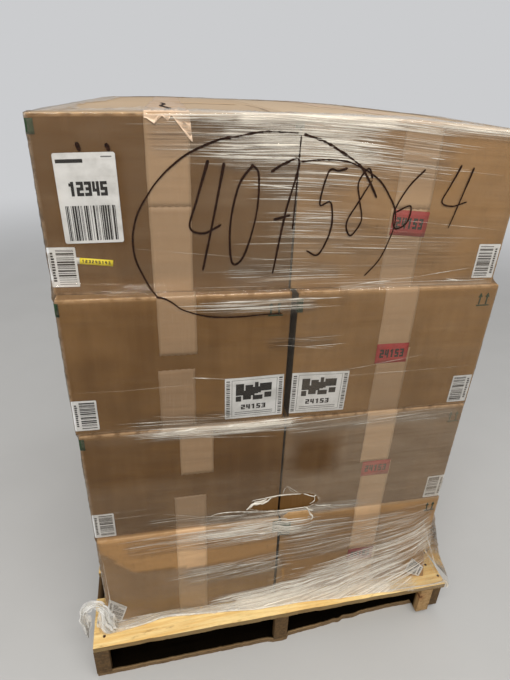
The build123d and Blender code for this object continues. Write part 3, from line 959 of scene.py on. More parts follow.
# On the bottom tier the green patch at the middle seam reaches past the sticker, as painted shade in the dark gap
# there
for tier, reach, v0, v1 in ((2, 12, 267, 297), (4, 26, 248, 296)):
    corner_patch(tier, "right", reach, 8, v0, v1)
Stuck(1, 445, 291, 16, 17).fill(green)
# Partly a green sticker and partly painted shade beside the bottom tier's middle seam
Stuck(4, 437, 262, 17, 42).fill(green)

for name, shape, material in (
    ("labels_white", white, LABEL_WHITE), ("labels_print", ink, LABEL_INK), ("labels_grey_print", grey, LABEL_GREY),
    ("stickers_red", red, STICKER_RED), ("sticker_yellow", yellow, STICKER_YELLOW),
    ("marks_green", green, STICKER_GREEN),
):
    shape.build(name, material, solid=0.0 if "print" in name else 0.12)


def smooth_path(points, pitch=6.0):
    """A round curve through the points, as evenly spaced places."""
    points = np.array(points, float)
    padded = np.vstack((2 * points[0] - points[1], points, 2 * points[-1] - points[-2]))
    out = []
    for a, b, c, d in zip(padded, padded[1:], padded[2:], padded[3:]):
        count = max(2, int(np.linalg.norm(c - b) / pitch))
        for k in range(count):
            t = k / count
            bend = (2 * a - 5 * b + 4 * c - d) * t**2 + (3 * b - a - 3 * c + d) * t**3
            out.append(0.5 * (2 * b + (c - a) * t + bend))
    out.append(points[-1])
    return np.array(out)


# Pallet: rough boards in place of the plain ones, sawn wood on the stringers

BOARD_LINES = (0.0, 0.8, 1.8, 3.2, 6.0)
BOARD_ROUND = 1.4


def board_mesh(node, material, wave=0.8, chip=1.6, outline=None, drop=0.0):
    """A rough sawn board that fills its node's box, with worn edges. Its top stays under its node's."""
    low, high = (np.array(corner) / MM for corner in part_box(node))
    size = high - low
    seed = sum(map(ord, node))
    near = BOARD_LINES[:-1]
    lines = (
        steps(size[0], 7, BOARD_LINES), steps(size[1], 9, BOARD_LINES),
        np.concatenate((near, [size[2] / 2], [size[2] - n for n in reversed(near)])),
    )
    shape = Shape()
    for axis, first, second in ((0, 1, 2), (1, 2, 0), (2, 0, 1)):
        for level in (0.0, size[axis]):
            a, b = np.meshgrid(lines[first], lines[second])
            spot = [None, None, None]
            spot[axis], spot[first], spot[second] = np.full(a.shape, level), a, b
            box = np.stack(spot, -1)
            point = rounded(box, size, BOARD_ROUND)
            x, y = box[..., 0], box[..., 1]
            from_end, from_edge = np.minimum(x, size[0] - x), np.minimum(y, size[1] - y)
            wear = noise(x / 46, y * 0 + seed, seed) + 0.4 * noise(x / 11, y * 0, seed + 1)
            wear = np.clip(wear, 0, 1) * chip
            point[..., 1] += np.sign(size[1] / 2 - y) * wear * np.clip(1 - from_edge / 5, 0, 1)
            point[..., 2] -= np.where(box[..., 2] > size[2] / 2, 1, 0) * (
                drop + np.clip(wave * (0.4 + 0.6 * noise(x / 160, y / 60, seed + 3)), 0, 3)
                + 0.8 * wear * np.clip(1 - from_edge / 7, 0, 1)
            )
            ends = 1.2 * noise(y / 7, seed * 1.0 + 0 * x, seed + 5) * np.clip(1 - from_end / 5, 0, 1)
            point[..., 0] += np.abs(ends) * np.sign(size[0] / 2 - x)
            if outline is not None:
                back = np.interp(low[0] + x, *outline) + 0.7 * noise(x / 9, 0 * x, 21)
                point[..., 1] += (back - outline[1][0]) * np.clip(1 - y / size[1], 0, 1)
            # Painted shade: how far a point lies behind the board's front edge, which darkens it inside the pallet
            shade_behind_front = ramp(size[1] - y, 1, 6) if low[1] > 0 else ramp(y, 1, 6)
            shape.grid(point + low, not level, inner=shade_behind_front * ramp(from_end, 2, 20))
    piece = shape.build(f"{node}_rough", material)
    weld = piece.modifiers.new("weld", "WELD")
    weld.merge_threshold = 0.00001
    return piece


# The back edge of the front bottom board, as (x, how far it is worn back)
WORN_EDGE = (
    (-508, -300, -30, -25, 20, 28, 150, 172, 186, 205, 236, 262, 330, 420, 508),
    (2, 3, 6, 1, 1, 12, 20, 24, 21, 29, 27, 33, 36, 37, 38),
)

# The deck boards' tops lie this much lower than their nodes', so that the nail heads show
NAIL_SHOWS = 0.45
for number in range(1, 8):
    node = f"pallet_deck_board_{number}"
    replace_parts(board_mesh(node, DECK_WOOD, 0.5, 1.8, None, NAIL_SHOWS), node)
for number in range(1, 6):
    node = f"pallet_bottom_board_{number}"
    outline = WORN_EDGE if number == 1 else None
    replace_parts(board_mesh(node, BOTTOM_WOOD, 0.3, 1.0, outline), node)
for name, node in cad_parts.items():
    if name.startswith("pallet_stringer"):
        node.data.materials.clear()
        node.data.materials.append(PALE_FRAME_WOOD if name.endswith("companion") else FRAME_WOOD)
    elif name == "pallet_nail_heads":
        node.data.materials.clear()
        node.data.materials.append(STEEL)


# Stretch film: one closed loop of columns round the load, row by row from the deck to the top edge

FILM_ROUND = 7.0
BRIDGE_SLOPE = 0.8
ROW_PITCH = 5.2
FRONT_PITCH = 10.0
SIDE_PITCH = 38.0
CORNER_STEPS = 4

# The tear, as (x, z above the seam under the third tier)
TEAR = np.array((
    (-90, 45), (-79, 57), (-70, 64), (-29, 73), (21, 75), (54, 76), (69, 72), (84, 57), (87, 46), (72, 35),
    (61, 29), (25, 28), (-11, 27), (-46, 31), (-69, 36),
), float)
TEAR[:, 1] += DECK_TOP + CARTON[2]

# How far the film's foot stands off the cartons on the deck along each side, from its first corner
# (front from the left, right from the front, back from the right, left from the back), and how high
# up the flare begins.
FOOT = (
    ((0, 0.05, 0.105, 0.142, 0.19, 0.25, 0.344, 0.437, 0.565, 0.677, 0.794, 0.908, 1),
     (20, 22, 17, 9, 11, 15, 22, 30, 30, 37, 41, 43, 46)),
    ((0, 0.06, 0.14, 0.3, 0.6, 1), (58, 44, 26, 12, 9, 20)),
    ((0, 0.1, 0.5, 0.9, 1), (12, 8, 7, 8, 12)),
    ((0, 0.1, 0.5, 0.9, 1), (12, 8, 8, 12, 20)),
)
FLARE_UP = (
    ((0, 0.45, 0.7, 0.9, 1), (70, 60, 130, 200, 245)),
    ((0, 0.12, 0.3, 0.5, 1), (245, 170, 100, 70, 80)),
    ((0, 1), (80, 80)),
    ((0, 1), (80, 70)),
)

# How the flare closes with height: 2 is a curve, 1 a straight line
FLARE_POWER = (
    ((0, 0.8, 0.95, 1), (2, 2, 1.2, 1.05)), ((0, 0.1, 0.25, 1), (1.05, 1.3, 2, 2)),
    ((0, 1), (2, 2)), ((0, 1), (2, 2)),
)

tier_corners = {}
for tier in range(1, TIER_COUNT + 1):
    base = cartons[tier, "front", "left"]
    start = base.origin[:2]
    along, inward = base.along[:2], base.inward[:2]
    span = tier_span(tier)
    tier_corners[tier] = np.array([
        start, start + span * along, start + span * along + TIER_LONG * inward, start + TIER_LONG * inward,
    ])


def tier_at(z):
    return int(np.clip(TIER_COUNT - (z - DECK_TOP) // CARTON[2], 1, TIER_COUNT))


def dilate(values, places, slope):
    """Raises each value to at least its neighbours' less slope for each millimetre between them."""
    values = values.copy()
    for k in range(1, len(places)):
        values[k] = np.maximum(values[k], values[k - 1] - slope * (places[k] - places[k - 1]))
    for k in range(len(places) - 2, -1, -1):
        values[k] = np.maximum(values[k], values[k + 1] - slope * (places[k + 1] - places[k]))
    return values


tear_low, tear_high = TEAR[:, 1].min() - 8, TEAR[:, 1].max() + 8
rows = np.unique(np.concatenate((
    np.arange(DECK_TOP + 1.2, LOAD_TOP, ROW_PITCH), np.arange(tear_low, tear_high, 2.4), [LOAD_TOP],
)))
rows = rows[np.concatenate(([True], np.diff(rows) > 0.9))]
half_front = tier_span(4) / 2
front_places = np.unique(np.concatenate((
    np.linspace(0, 1, int(2 * half_front / FRONT_PITCH)), 0.5 + np.arange(-100, 118, 3.0) / (2 * half_front),
)))
fractions = [
    front_places, np.linspace(0, 1, int(TIER_LONG / SIDE_PITCH)),
    np.linspace(0, 1, int(2 * half_front / SIDE_PITCH)), np.linspace(0, 1, int(TIER_LONG / SIDE_PITCH)),
]
columns = []
for side in range(4):
    columns += [(side, float(f), 0.0) for f in fractions[side]]
    columns += [(side, 1.0, k / CORNER_STEPS) for k in range(1, CORNER_STEPS)]

outward = np.array(((-1, -1), (1, -1), (1, 1), (-1, 1)))
corner_rows = np.array([tier_corners[tier_at(z)] for z in rows]) * outward
corner_rows = dilate(corner_rows, rows, BRIDGE_SLOPE) * outward


column_side = np.array([side for side, _, _ in columns])
column_share = np.array([share for _, share, _ in columns])
column_bend = np.array([bend for _, _, bend in columns])
row_tier = np.array([tier_at(z) for z in rows])


def carton_push(side, share):
    """The cartons' swelling and creases along one film column, as outward millimetres for each row."""
    out = np.zeros(len(rows))
    for tier in range(1, TIER_COUNT + 1):
        mine = row_tier == tier
        across = (share, 1.0, 1 - share, 0.0)[side] * tier_span(tier)
        deep = (0.0, share, 1.0, 1 - share)[side] * TIER_LONG
        name_side = "left" if across <= CARTON[0] + gaps[tier] / 2 else "right"
        name_row = "front" if deep <= CARTON[1] + ROW_GAP / 2 else "back"
        carton = cartons[tier, name_row, name_side]
        start_u, start_w = carton.lies()
        v = np.clip(rows[mine] - tier_floor(tier), 0, CARTON[2])
        u = np.full(v.shape, np.clip(across - start_u, 0, CARTON[0]))
        w = np.full(v.shape, np.clip(deep - start_w, 0, CARTON[1]))
        du, dw, _ = carton.push(u, w, v)
        out[mine] = (-dw, du, dw, -du)[side]
    return out


# How strongly the drawn lines are pulled down towards the right front corner, as (u, share), the height
# at which the pull is taken and the one where it ends
PULL = ((250, 400, 509, 700, 800, 850, 892, 912), (0, 0.035, 0.105, 0.32, 0.47, 0.57, 0.80, 0.95))
PULL_REACH = 240.0
PULL_ENDS = 300.0


def level_line(side, along, z):
    """The height that a drawn line of the film would have without the pull towards the pallet's corner."""
    along, z = np.broadcast_arrays(np.asarray(along, float), np.asarray(z, float))
    wander = 14 * noise(along / 420, z / 210, 31 + side) + 2 * noise(along / 170, z / 60, 37 + side)
    height = z - DECK_TOP
    if side == 0:
        pull = np.interp(along, *PULL)
        fanned = (height - PULL_REACH * pull) / np.clip(1 - PULL_REACH / PULL_ENDS * pull, 0.2, 1)
        height = np.where(fanned < PULL_ENDS, fanned, height)
    return height + wander


def soft_box(u, v, box):
    """1 inside a box of places and 0 outside it, with a soft border."""
    u0, u1, v0, v1, soft = box
    return (
        ramp(u, u0 - soft, u0 + soft) * (1 - ramp(u, u1 - soft, u1 + soft))
        * ramp(v, v0 - soft, v0 + soft) * (1 - ramp(v, v1 - soft, v1 + soft))
    )


# Where the front film is thick with white drawn lines, partly painted glints: (strength, (u0, u1, height0, height1,
# softness)), heights above the deck
H = CARTON[2]
DENSE = (
    (0.9, (235, 905, 3 * H + 296, 3 * H + 330, 8)),
    (1.0, (310, 610, 3 * H + 232, 3 * H + 312, 24)),
    (0.75, (390, 570, 3 * H + 185, 3 * H + 235, 45)),
    (0.5, (190, 330, 3 * H + 250, 3 * H + 312, 24)),
    (0.42, (600, 760, 3 * H + 200, 3 * H + 300, 36)),
    (0.42, (420, 620, 3 * H + 70, 3 * H + 170, 60)),
    (0.28, (540, 820, 3 * H + 20, 3 * H + 150, 60)),
    (0.45, (330, 560, 3 * H + 10, 3 * H + 60, 24)),
    (0.6, (270, 500, 2 * H + 268, 2 * H + 300, 16)),
    (0.35, (560, 900, 3 * H + 2, 3 * H + 26, 12)),
    (0.3, (400, 560, 2 * H + 180, 2 * H + 215, 16)),
    (0.45, (120, 330, 2 * H + 6, 2 * H + 34, 12)),
    (0.85, (150, 475, H + 286, 2 * H + 4, 8)),
    (0.35, (462, 900, H + 270, H + 308, 20)),
    (0.5, (240, 680, H + 2, H + 36, 12)),
    (0.3, (120, 300, H + 20, H + 50, 16)),
    (0.9, (230, 520, 246, H + 2, 14)),
    (0.4, (60, 300, 250, H, 14)),
    (0.45, (200, 470, 112, 190, 20)),
    (0.5, (480, 900, 150, 290, 30)),
    (1.0, (280, 830, -20, 44, 12)),
    (0.7, (0, 300, -20, 24, 10)),
)
# Where it is white, and where a warm veil of layers lies over the cartons, in the same way
MILK = (
    (0.80, (345, 640, 4 * H - 13, 4 * H + 90, 8)),
    (0.42, (640, 905, 4 * H - 9, 4 * H + 90, 7)),
    (0.22, (215, 345, 4 * H - 5, 4 * H + 90, 5)),
    (0.26, (380, 560, 4 * H - 52, 4 * H - 14, 18)),
    (0.16, (300, 460, 3 * H - 34, 3 * H - 16, 14)),
    (0.22, (560, 905, 3 * H + 1, 3 * H + 9, 4)),
    (0.42, (170, 470, 2 * H - 13, 2 * H + 3, 5)),
    (0.09, (606, 925, H + 6, 2 * H - 10, 14)),
    (0.08, (464, 606, H + 6, H + 128, 12)),
    (0.08, (464, 606, H + 272, 2 * H - 10, 12)),
    (0.60, (330, 760, -20, 34, 12)),
    (0.34, (20, 330, -20, 14, 7)),
)
HAZE = (
    (0.28, (-20, 925, 3 * H - 4, 4 * H + 40, 16)),
    (0.12, (-20, 459, 3 * H - 4, 4 * H + 40, 30)),
    (0.12, (459, 925, 3 * H - 4, 4 * H + 40, 30)),
    (0.20, (300, 640, 3 * H + 10, 4 * H, 60)),
    (0.30, (470, 925, 2 * H, 3 * H - 4, 20)),
    (0.95, (459, 925, H, 2 * H, 5)),
    (-1.3, (486, 584, H + 150, H + 250, 36)),
    (0.16, (459, 925, -20, H, 14)),
    (-0.42, (31, 141, 3 * H + 98, 3 * H + 254, 10)),
    (0.45, (-20, 459, H - 4, H + 165, 25)),
    (-0.2, (640, 925, 150, H - 4, 40)),
    (0.35, (-20, 459, 2 * H - 30, 2 * H + 12, 10)),
    (0.5, (250, 456, H - 22, H + 22, 6)),
    (0.7, (-20, 930, -20, 34, 16)),
)


# The top of the fan over the deck, as (u, height)
FAN_TOP = ((250, 340, 510, 660, 840, 912), (5, 40, 70, 130, 185, 225))


def strongest(total, areas, along, height):
    for strength, box in areas:
        total = np.maximum(total, strength * soft_box(along, height, box))
    return total


def density(side, along, z):
    """How thick the film is with white drawn lines, which are partly painted glints."""
    height = np.asarray(z, float) - DECK_TOP
    if side:
        return 0.28 + 0.25 * noise(np.asarray(along) / 260, height / 120, 51 + side)
    total = strongest(np.full(np.broadcast(along, z).shape, 0.10), DENSE, along, height)
    top = np.interp(along, *FAN_TOP)
    fan = (1 - ramp(height, top - 12, top + 8)) * ramp(along, 180, 330)
    fan = fan * (1 - 0.9 * ramp(along, 790, 840) * (1 - ramp(height, 85, 125)))
    return np.maximum(total, 0.84 * fan)


def milkiness(side, along, z):
    """How white the film is where it is bunched: at the top edge, in the ledges and at its foot."""
    height = np.asarray(z, float) - DECK_TOP
    total = np.zeros(np.broadcast(along, z).shape)
    if side:
        return total + 0.25 * ramp(height, 4 * H - 6, 4 * H) + 0.2 * (1 - ramp(height, 4, 24))
    total = strongest(total, MILK, along, height)
    top = np.interp(along, *FAN_TOP)
    fan = (1 - ramp(height, top - 30, top)) * ramp(along, 330, 480) * (1 - ramp(along, 760, 810))
    return np.maximum(total, 0.09 * fan)


def haze(side, along, z):
    """How much of a warm veil the film is."""
    height = np.asarray(z, float) - DECK_TOP
    if side:
        return np.clip(0.4 + 0.4 * noise(np.asarray(along) / 200, height / 160, 61 + side), 0, 1)
    total = np.full(np.broadcast(along, z).shape, 0.10)
    for strength, box in HAZE:
        total = total + strength * soft_box(along, height, box)
    below = np.interp(along, *CREASE)
    total = total + 0.8 * (1 - ramp(height, below - 4, below + 3)) * (1 - ramp(along, 452, 462))
    return np.clip(total, 0, 1)


first_column = [int(np.nonzero((column_side == s) & (column_bend == 0))[0][0]) for s in range(4)]
last_column = [int(np.nonzero((column_side == s) & (column_bend == 0))[0][-1]) for s in range(4)]
foot_out = np.array([np.interp(share, *FOOT[side]) for side, share, _ in columns])
foot_up = np.array([np.interp(share, *FLARE_UP[side]) for side, share, _ in columns])
foot_power = np.array([np.interp(share, *FLARE_POWER[side]) for side, share, _ in columns])


def loop(corners, radius, out, flare):
    """One row of the film: every column's place round four corners, with its own stand-off and flare."""
    edges = unit(np.roll(corners, -1, axis=0) - corners)
    normals = np.stack((edges[:, 1], -edges[:, 0]), 1)
    before = np.roll(normals, 1, axis=0)
    first, last = flare[first_column], flare[last_column]
    core = corners - radius * (normals + before) + normals * first[:, None] + before * np.roll(last, 1)[:, None]
    side, ahead = column_side, (column_side + 1) % 4
    share = column_share[:, None]
    spread = flare - (first[side] * (1 - column_share) + last[side] * column_share)
    straight = core[side] * (1 - share) + core[ahead] * share + normals[side] * (radius + out + spread)[:, None]
    angle = (column_bend * math.pi / 2)[:, None]
    way = unit(np.cos(angle) * normals[side] + np.sin(angle) * normals[ahead])
    bent = core[ahead] + way * (radius + out)[:, None]
    return np.where(column_bend[:, None] > 0, bent, straight)


# One corner's columns count as this many millimetres along the film
CORNER_ALONG = 10
SIDE_LENGTHS = np.array((tier_span(4), TIER_LONG, tier_span(4), TIER_LONG))
column_along = column_share * SIDE_LENGTHS[column_side] + column_bend * CORNER_ALONG
pushes = np.stack([carton_push(side, share) for side, share, _ in columns], 1)
pushes = dilate(pushes, rows, 0.35)
pushes = dilate(pushes.T, np.arange(len(columns)) * 6.0, 0.12).T


def over_film(measure):
    """What a measure of (side, along, z) says at each of the film's rows and columns."""
    values = np.zeros(pushes.shape)
    for side in range(4):
        mine = column_side == side
        values[:, mine] = measure(side, column_along[None, mine], rows[:, None])
    return values


dense_map, haze_map, milk_map, level_map = map(over_film, (density, haze, milkiness, level_line))

run = column_along + column_side * 3000
crests = ridges(run / 230, level_map / 12, 71) * (0.4 + 2.0 * dense_map)
crests += 0.7 * ridges(run / 90, level_map / 7, 73) * dense_map
slack = 1.6 * np.clip(noise(run / 300, level_map / 90, 77), 0, 1)
film_out = FILM_OUT + pushes + crests + slack

film_points = np.zeros((len(rows), len(columns), 3))
spans = SIDE_LENGTHS[column_side]
FAR = 1e6
film_u = np.choose(column_side, [column_along, spans * 0 + FAR, spans - column_along, spans * 0])
film_w = np.choose(column_side, [spans * 0, column_along, spans * 0 + FAR, spans - column_along])
edge_rise = top_rise(np.clip(film_u, 0, tier_span(1)), np.clip(film_w, 0, TIER_LONG))
for k, z in enumerate(rows):
    flare = foot_out * np.clip(1 - (z - DECK_TOP) / foot_up, 0, None) ** foot_power
    flare = flare * (1 + 0.10 * noise(run / 60, 0 * run, 79))
    film_points[k, :, :2] = loop(corner_rows[k], FILM_ROUND, film_out[k], flare)
    film_points[k, :, 2] = z + edge_rise * np.clip((z - tier_floor(1)) / H, 0, 1)


def top_height(points):
    """The height of the load's top under places given as x and y."""
    base = cartons[1, "front", "left"]
    u = (points - tier_corners[1][0]) @ base.along[:2]
    w = (points - tier_corners[1][0]) @ base.inward[:2]
    height = LOAD_TOP + top_rise(np.clip(u, 0, tier_span(1)), np.clip(w, 0, TIER_LONG))
    for carton in (cartons[1, r, s] for r in ("front", "back") for s in ("left", "right")):
        start_u, start_w = carton.lies()
        here = (u >= start_u) & (u <= start_u + CARTON[0]) & (w >= start_w) & (w <= start_w + CARTON[1])
        height = height + np.where(here, FLAP_RISE * carton.flap_spring(u - start_u, w - start_w), 0)
    return height


# The fold over the top edge, with its ragged inner edge
FOLD_STEPS = 12
top_corners = corner_rows[-1]
top_edges = unit(np.roll(top_corners, -1, axis=0) - top_corners)
top_normals = np.stack((top_edges[:, 1], -top_edges[:, 0]), 1)
fold_wide = 58 + 22 * noise(run / 170, 0 * run, 81) + 12 * noise(run / 40, 0 * run, 83)
fold = np.zeros((FOLD_STEPS, len(columns), 3))
for k in range(FOLD_STEPS):
    share = (k + 1) / FOLD_STEPS
    inset = share * fold_wide
    ring = loop(top_corners, FILM_ROUND, film_out[-1] * (1 - share), 0 * run)
    ring = ring - top_normals[column_side] * inset[:, None]
    reach = spans * column_share
    ends = np.clip(inset - reach, 0, None) - np.clip(inset - (spans - reach), 0, None)
    ring = ring + top_edges[column_side] * ends[:, None]
    creased = 2.2 * ridges(run / 26, share * 3 + 0 * run, 85)
    creased = creased + 1.2 * ridges(run / 60, share * 2 + 0 * run, 87)
    fold[k, :, :2] = ring
    fold[k, :, 2] = top_height(ring) + 1.6 + creased * (0.4 + 0.6 * share)

sleeve = np.concatenate((film_points, fold))
along_front = np.interp(column_along, (0, 215, 345, 640, 905), (0.05, 0.25, 0.9, 0.8, 0.4))
fold_white = np.where(column_side == 0, along_front, np.where(column_side == 3, 0.10, 0.22))
fold_fade = np.linspace(1.0, 0.25, FOLD_STEPS)[:, None]
sleeve_dense = np.concatenate((dense_map, fold_white * fold_fade))
sleeve_haze = np.concatenate((haze_map, fold_white * fold_fade))
sleeve_milk = np.concatenate((milk_map, 0.75 * fold_white * fold_fade ** 2))
sleeve_rise = np.concatenate((level_map, level_map[-1:] + np.arange(1, FOLD_STEPS + 1)[:, None] * 6.0))


def inside_tear(x, z):
    """Which places lie in the torn opening."""
    hit = np.zeros(np.broadcast(x, z).shape, bool)
    for (x0, z0), (x1, z1) in zip(TEAR, np.roll(TEAR, -1, axis=0)):
        crosses = (z0 > z) != (z1 > z)
        with np.errstate(divide="ignore", invalid="ignore"):
            hit ^= crosses & (x < (x1 - x0) * (z - z0) / (z1 - z0 + 1e-12) + x0)
    return hit


def nearest_on_tear(x, z):
    """The nearest places on the tear's edge, as x and z, and how far off they are."""
    near_x, near_z, far = np.zeros(x.shape), np.zeros(x.shape), np.full(x.shape, np.inf)
    for a, b in zip(TEAR, np.roll(TEAR, -1, axis=0)):
        edge = b - a
        share = np.clip(((x - a[0]) * edge[0] + (z - a[1]) * edge[1]) / np.dot(edge, edge), 0, 1)
        spot_x, spot_z = a[0] + share * edge[0], a[1] + share * edge[1]
        away = np.hypot(spot_x - x, spot_z - z)
        closer = away < far
        near_x, near_z = np.where(closer, spot_x, near_x), np.where(closer, spot_z, near_z)
        far = np.minimum(far, away)
    return near_x, near_z, far


front_count = len(front_places)
torn = np.zeros(sleeve.shape[:2], bool)
torn[:, :front_count] = inside_tear(sleeve[:, :front_count, 0], sleeve[:, :front_count, 2])
rim = torn.copy()
for shift, axis in ((1, 0), (-1, 0), (1, 1), (-1, 1)):
    rim |= np.roll(torn, shift, axis)
rim &= ~torn
rim[:, front_count:] = False
sleeve[rim, 0], sleeve[rim, 2], _ = nearest_on_tear(sleeve[rim, 0], sleeve[rim, 2])

# The film is white close to the tear, where it has been drawn out
front_x, front_z = film_points[:, :front_count, 0], film_points[:, :front_count, 2]
near_tear = nearest_on_tear(front_x, front_z)[2]
frayed = 0.5 * (1 - ramp(near_tear, 1, 9)) * np.clip(0.6 + noise(front_x / 9, front_z / 6, 89), 0, 1)
sleeve_milk[: len(rows), :front_count] = np.maximum(sleeve_milk[: len(rows), :front_count], frayed)

film = Shape()
count = len(columns)
faces = []
for i in range(len(sleeve) - 1):
    for j in range(count):
        k = (j + 1) % count
        if not (torn[i, j] or torn[i, k] or torn[i + 1, k] or torn[i + 1, j]):
            faces.append((i * count + j, i * count + k, (i + 1) * count + k, (i + 1) * count + j))
film.add(
    sleeve.reshape(-1, 3), faces, dense=sleeve_dense.ravel(), haze=sleeve_haze.ravel(),
    milk=sleeve_milk.ravel(), along=np.tile(run * MM, len(sleeve)), rise=sleeve_rise.ravel() * MM,
)
stretch_wrap = film.build("stretch_wrap_film", FILM)
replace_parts(stretch_wrap, "stretch_wrap")
cleaner = bmesh.new()
cleaner.from_mesh(stretch_wrap.data)
bmesh.ops.delete(cleaner, geom=[vert for vert in cleaner.verts if not vert.link_faces], context="VERTS")
cleaner.to_mesh(stretch_wrap.data)
cleaner.free()

[carton.node + "_board" for carton in cartons.values() if carton.row == "front"]


# Pleats and drawn white lines, partly painted glints: narrow raised ribbons along the film

def film_at(side, along, z):
    """The film's own place and outward direction at a distance along a side and a height."""
    mine = np.nonzero((column_side == side) & (column_bend == 0))[0]
    j = np.interp(along, column_along[mine], np.arange(len(mine)))
    i = np.interp(z, rows, np.arange(len(rows)))
    j0 = np.clip(j.astype(int), 0, len(mine) - 2)
    i0 = np.clip(i.astype(int), 0, len(rows) - 2)
    fj, fi = (j - j0)[:, None], (i - i0)[:, None]
    a, b = film_points[i0, mine[j0]], film_points[i0, mine[j0 + 1]]
    c, d = film_points[i0 + 1, mine[j0]], film_points[i0 + 1, mine[j0 + 1]]
    place = (a * (1 - fj) + b * fj) * (1 - fi) + (c * (1 - fj) + d * fj) * fi
    across, up = b - a, c - a
    normal = np.cross(across, up)
    return place, normal / (np.linalg.norm(normal, axis=1, keepdims=True) + 1e-9)


def flow_values(places, turn):
    """How far along a strip each point is, in metres, and how far across, for the strip's shading."""
    step = np.linalg.norm(np.diff(places, axis=0), axis=1)
    run = np.concatenate(([0.0], np.cumsum(step))) * MM + (places[0, 0] * 7.31 + places[0, 2] * 3.17) % 97
    return {"run": np.repeat(run[:, None], len(turn), 1), "turn": np.repeat(turn[None, :], len(places), 0)}


def ribbon(shape, places, normals, width, lift, strength):
    """A narrow strip with a raised middle line that follows the places."""
    side = np.cross(normals, unit(np.gradient(places, axis=0)))
    taper = np.sin(np.linspace(0.04, math.pi - 0.04, len(places))) ** 0.35
    wide = (width * taper)[:, None]
    middle = places + normals * (0.35 + lift * taper)[:, None]
    low = places + normals * 0.3
    points = np.stack((low - side * wide / 2, middle, low + side * wide / 2), 1)
    white = np.stack((0.5 * strength * taper, strength * taper, 0.5 * strength * taper), 1)
    shape.grid(points, strength=white, **flow_values(places, np.array((-0.4, 0.0, 0.4))))


LINE_PITCH = 9.0
LINE_PROBE = 4


def drawn_line(shape, side, along, z, length, width, strength):
    """A ribbon that runs with the film's drawn lines from (along, z)."""
    spots = [(along, z)]
    for _ in range(max(4, int(length / LINE_PITCH))):
        at, up = spots[-1]
        here = level_line(side, at, up)
        fore = level_line(side, at + LINE_PITCH, up)
        above = level_line(side, at, up + LINE_PROBE)
        slope = -float(fore - here) / LINE_PITCH / max(0.25, float(above - here) / LINE_PROBE)
        spots.append((at + LINE_PITCH, up + np.clip(slope, -0.6, 0.6) * LINE_PITCH))
    spots = np.array(spots)
    keep = (spots[:, 0] > 2) & (spots[:, 0] < SIDE_LENGTHS[side] - 2)
    keep &= (spots[:, 1] > DECK_TOP + 2) & (spots[:, 1] < LOAD_TOP - 1)
    if side == 0:
        x = film_at(0, spots[:, 0], spots[:, 1])[0][:, 0]
        keep &= ~inside_tear(x, spots[:, 1])
    spots = spots[: int(np.argmin(keep))] if not keep.all() else spots
    if len(spots) < 4:
        return
    places, normals = film_at(side, spots[:, 0], spots[:, 1])
    ribbon(shape, places, normals, width, 0.25 * width, strength)


pleats_and_glints = Shape()

# How many lines each side of the load has, and how wide they are
LINES = ((0, 2150), (1, 380), (2, 280), (3, 380))
WIDTHS = (0.5, 0.5, 0.7, 0.7, 0.9, 1.1, 1.5, 2.2)
for side, wanted in LINES:
    made = 0
    while made < wanted:
        along = rng.uniform(0, SIDE_LENGTHS[side])
        z = rng.uniform(DECK_TOP, LOAD_TOP)
        thick = float(density(side, np.array(along), np.array(z)))
        level = float(level_line(side, along, z))
        bunch = 0.4 + 0.75 * ramp(float(noise(level / 7.0, along / 130, 71)), -0.35, 0.35)
        if rng.random() > bunch * max(0.0, thick - 0.13) ** 1.5:
            continue
        made += 1
        length, width = rng.uniform(30, 190), rng.choice(WIDTHS)
        strength = rng.uniform(0.3, 0.6 + 0.4 * thick) ** 1.2
        drawn_line(pleats_and_glints, side, along - length / 2, z, length, width, strength)


# Wider white folds in the fan over the deck, partly painted glints, as (count, u, height above the deck, width,
# strength), each low and high
for wanted, reach, rise, wide, bright in (
    (46, (430, 860), (6, 120), (2.6, 5.2), (0.45, 0.95)), (16, (290, 520), (4, 40), (2.4, 4.6), (0.4, 0.85)),
    (18, (330, 620), (3 * H + 236, 3 * H + 300), (2.2, 4.2), (0.35, 0.8)),
):
    made = 0
    while made < wanted:
        along, z = rng.uniform(*reach), DECK_TOP + rng.uniform(*rise)
        if density(0, np.array(along), np.array(z)) < 0.5:
            continue
        made += 1
        length = rng.uniform(50, 190)
        drawn_line(pleats_and_glints, 0, along - length / 2, z, length, rng.uniform(*wide), rng.uniform(*bright))


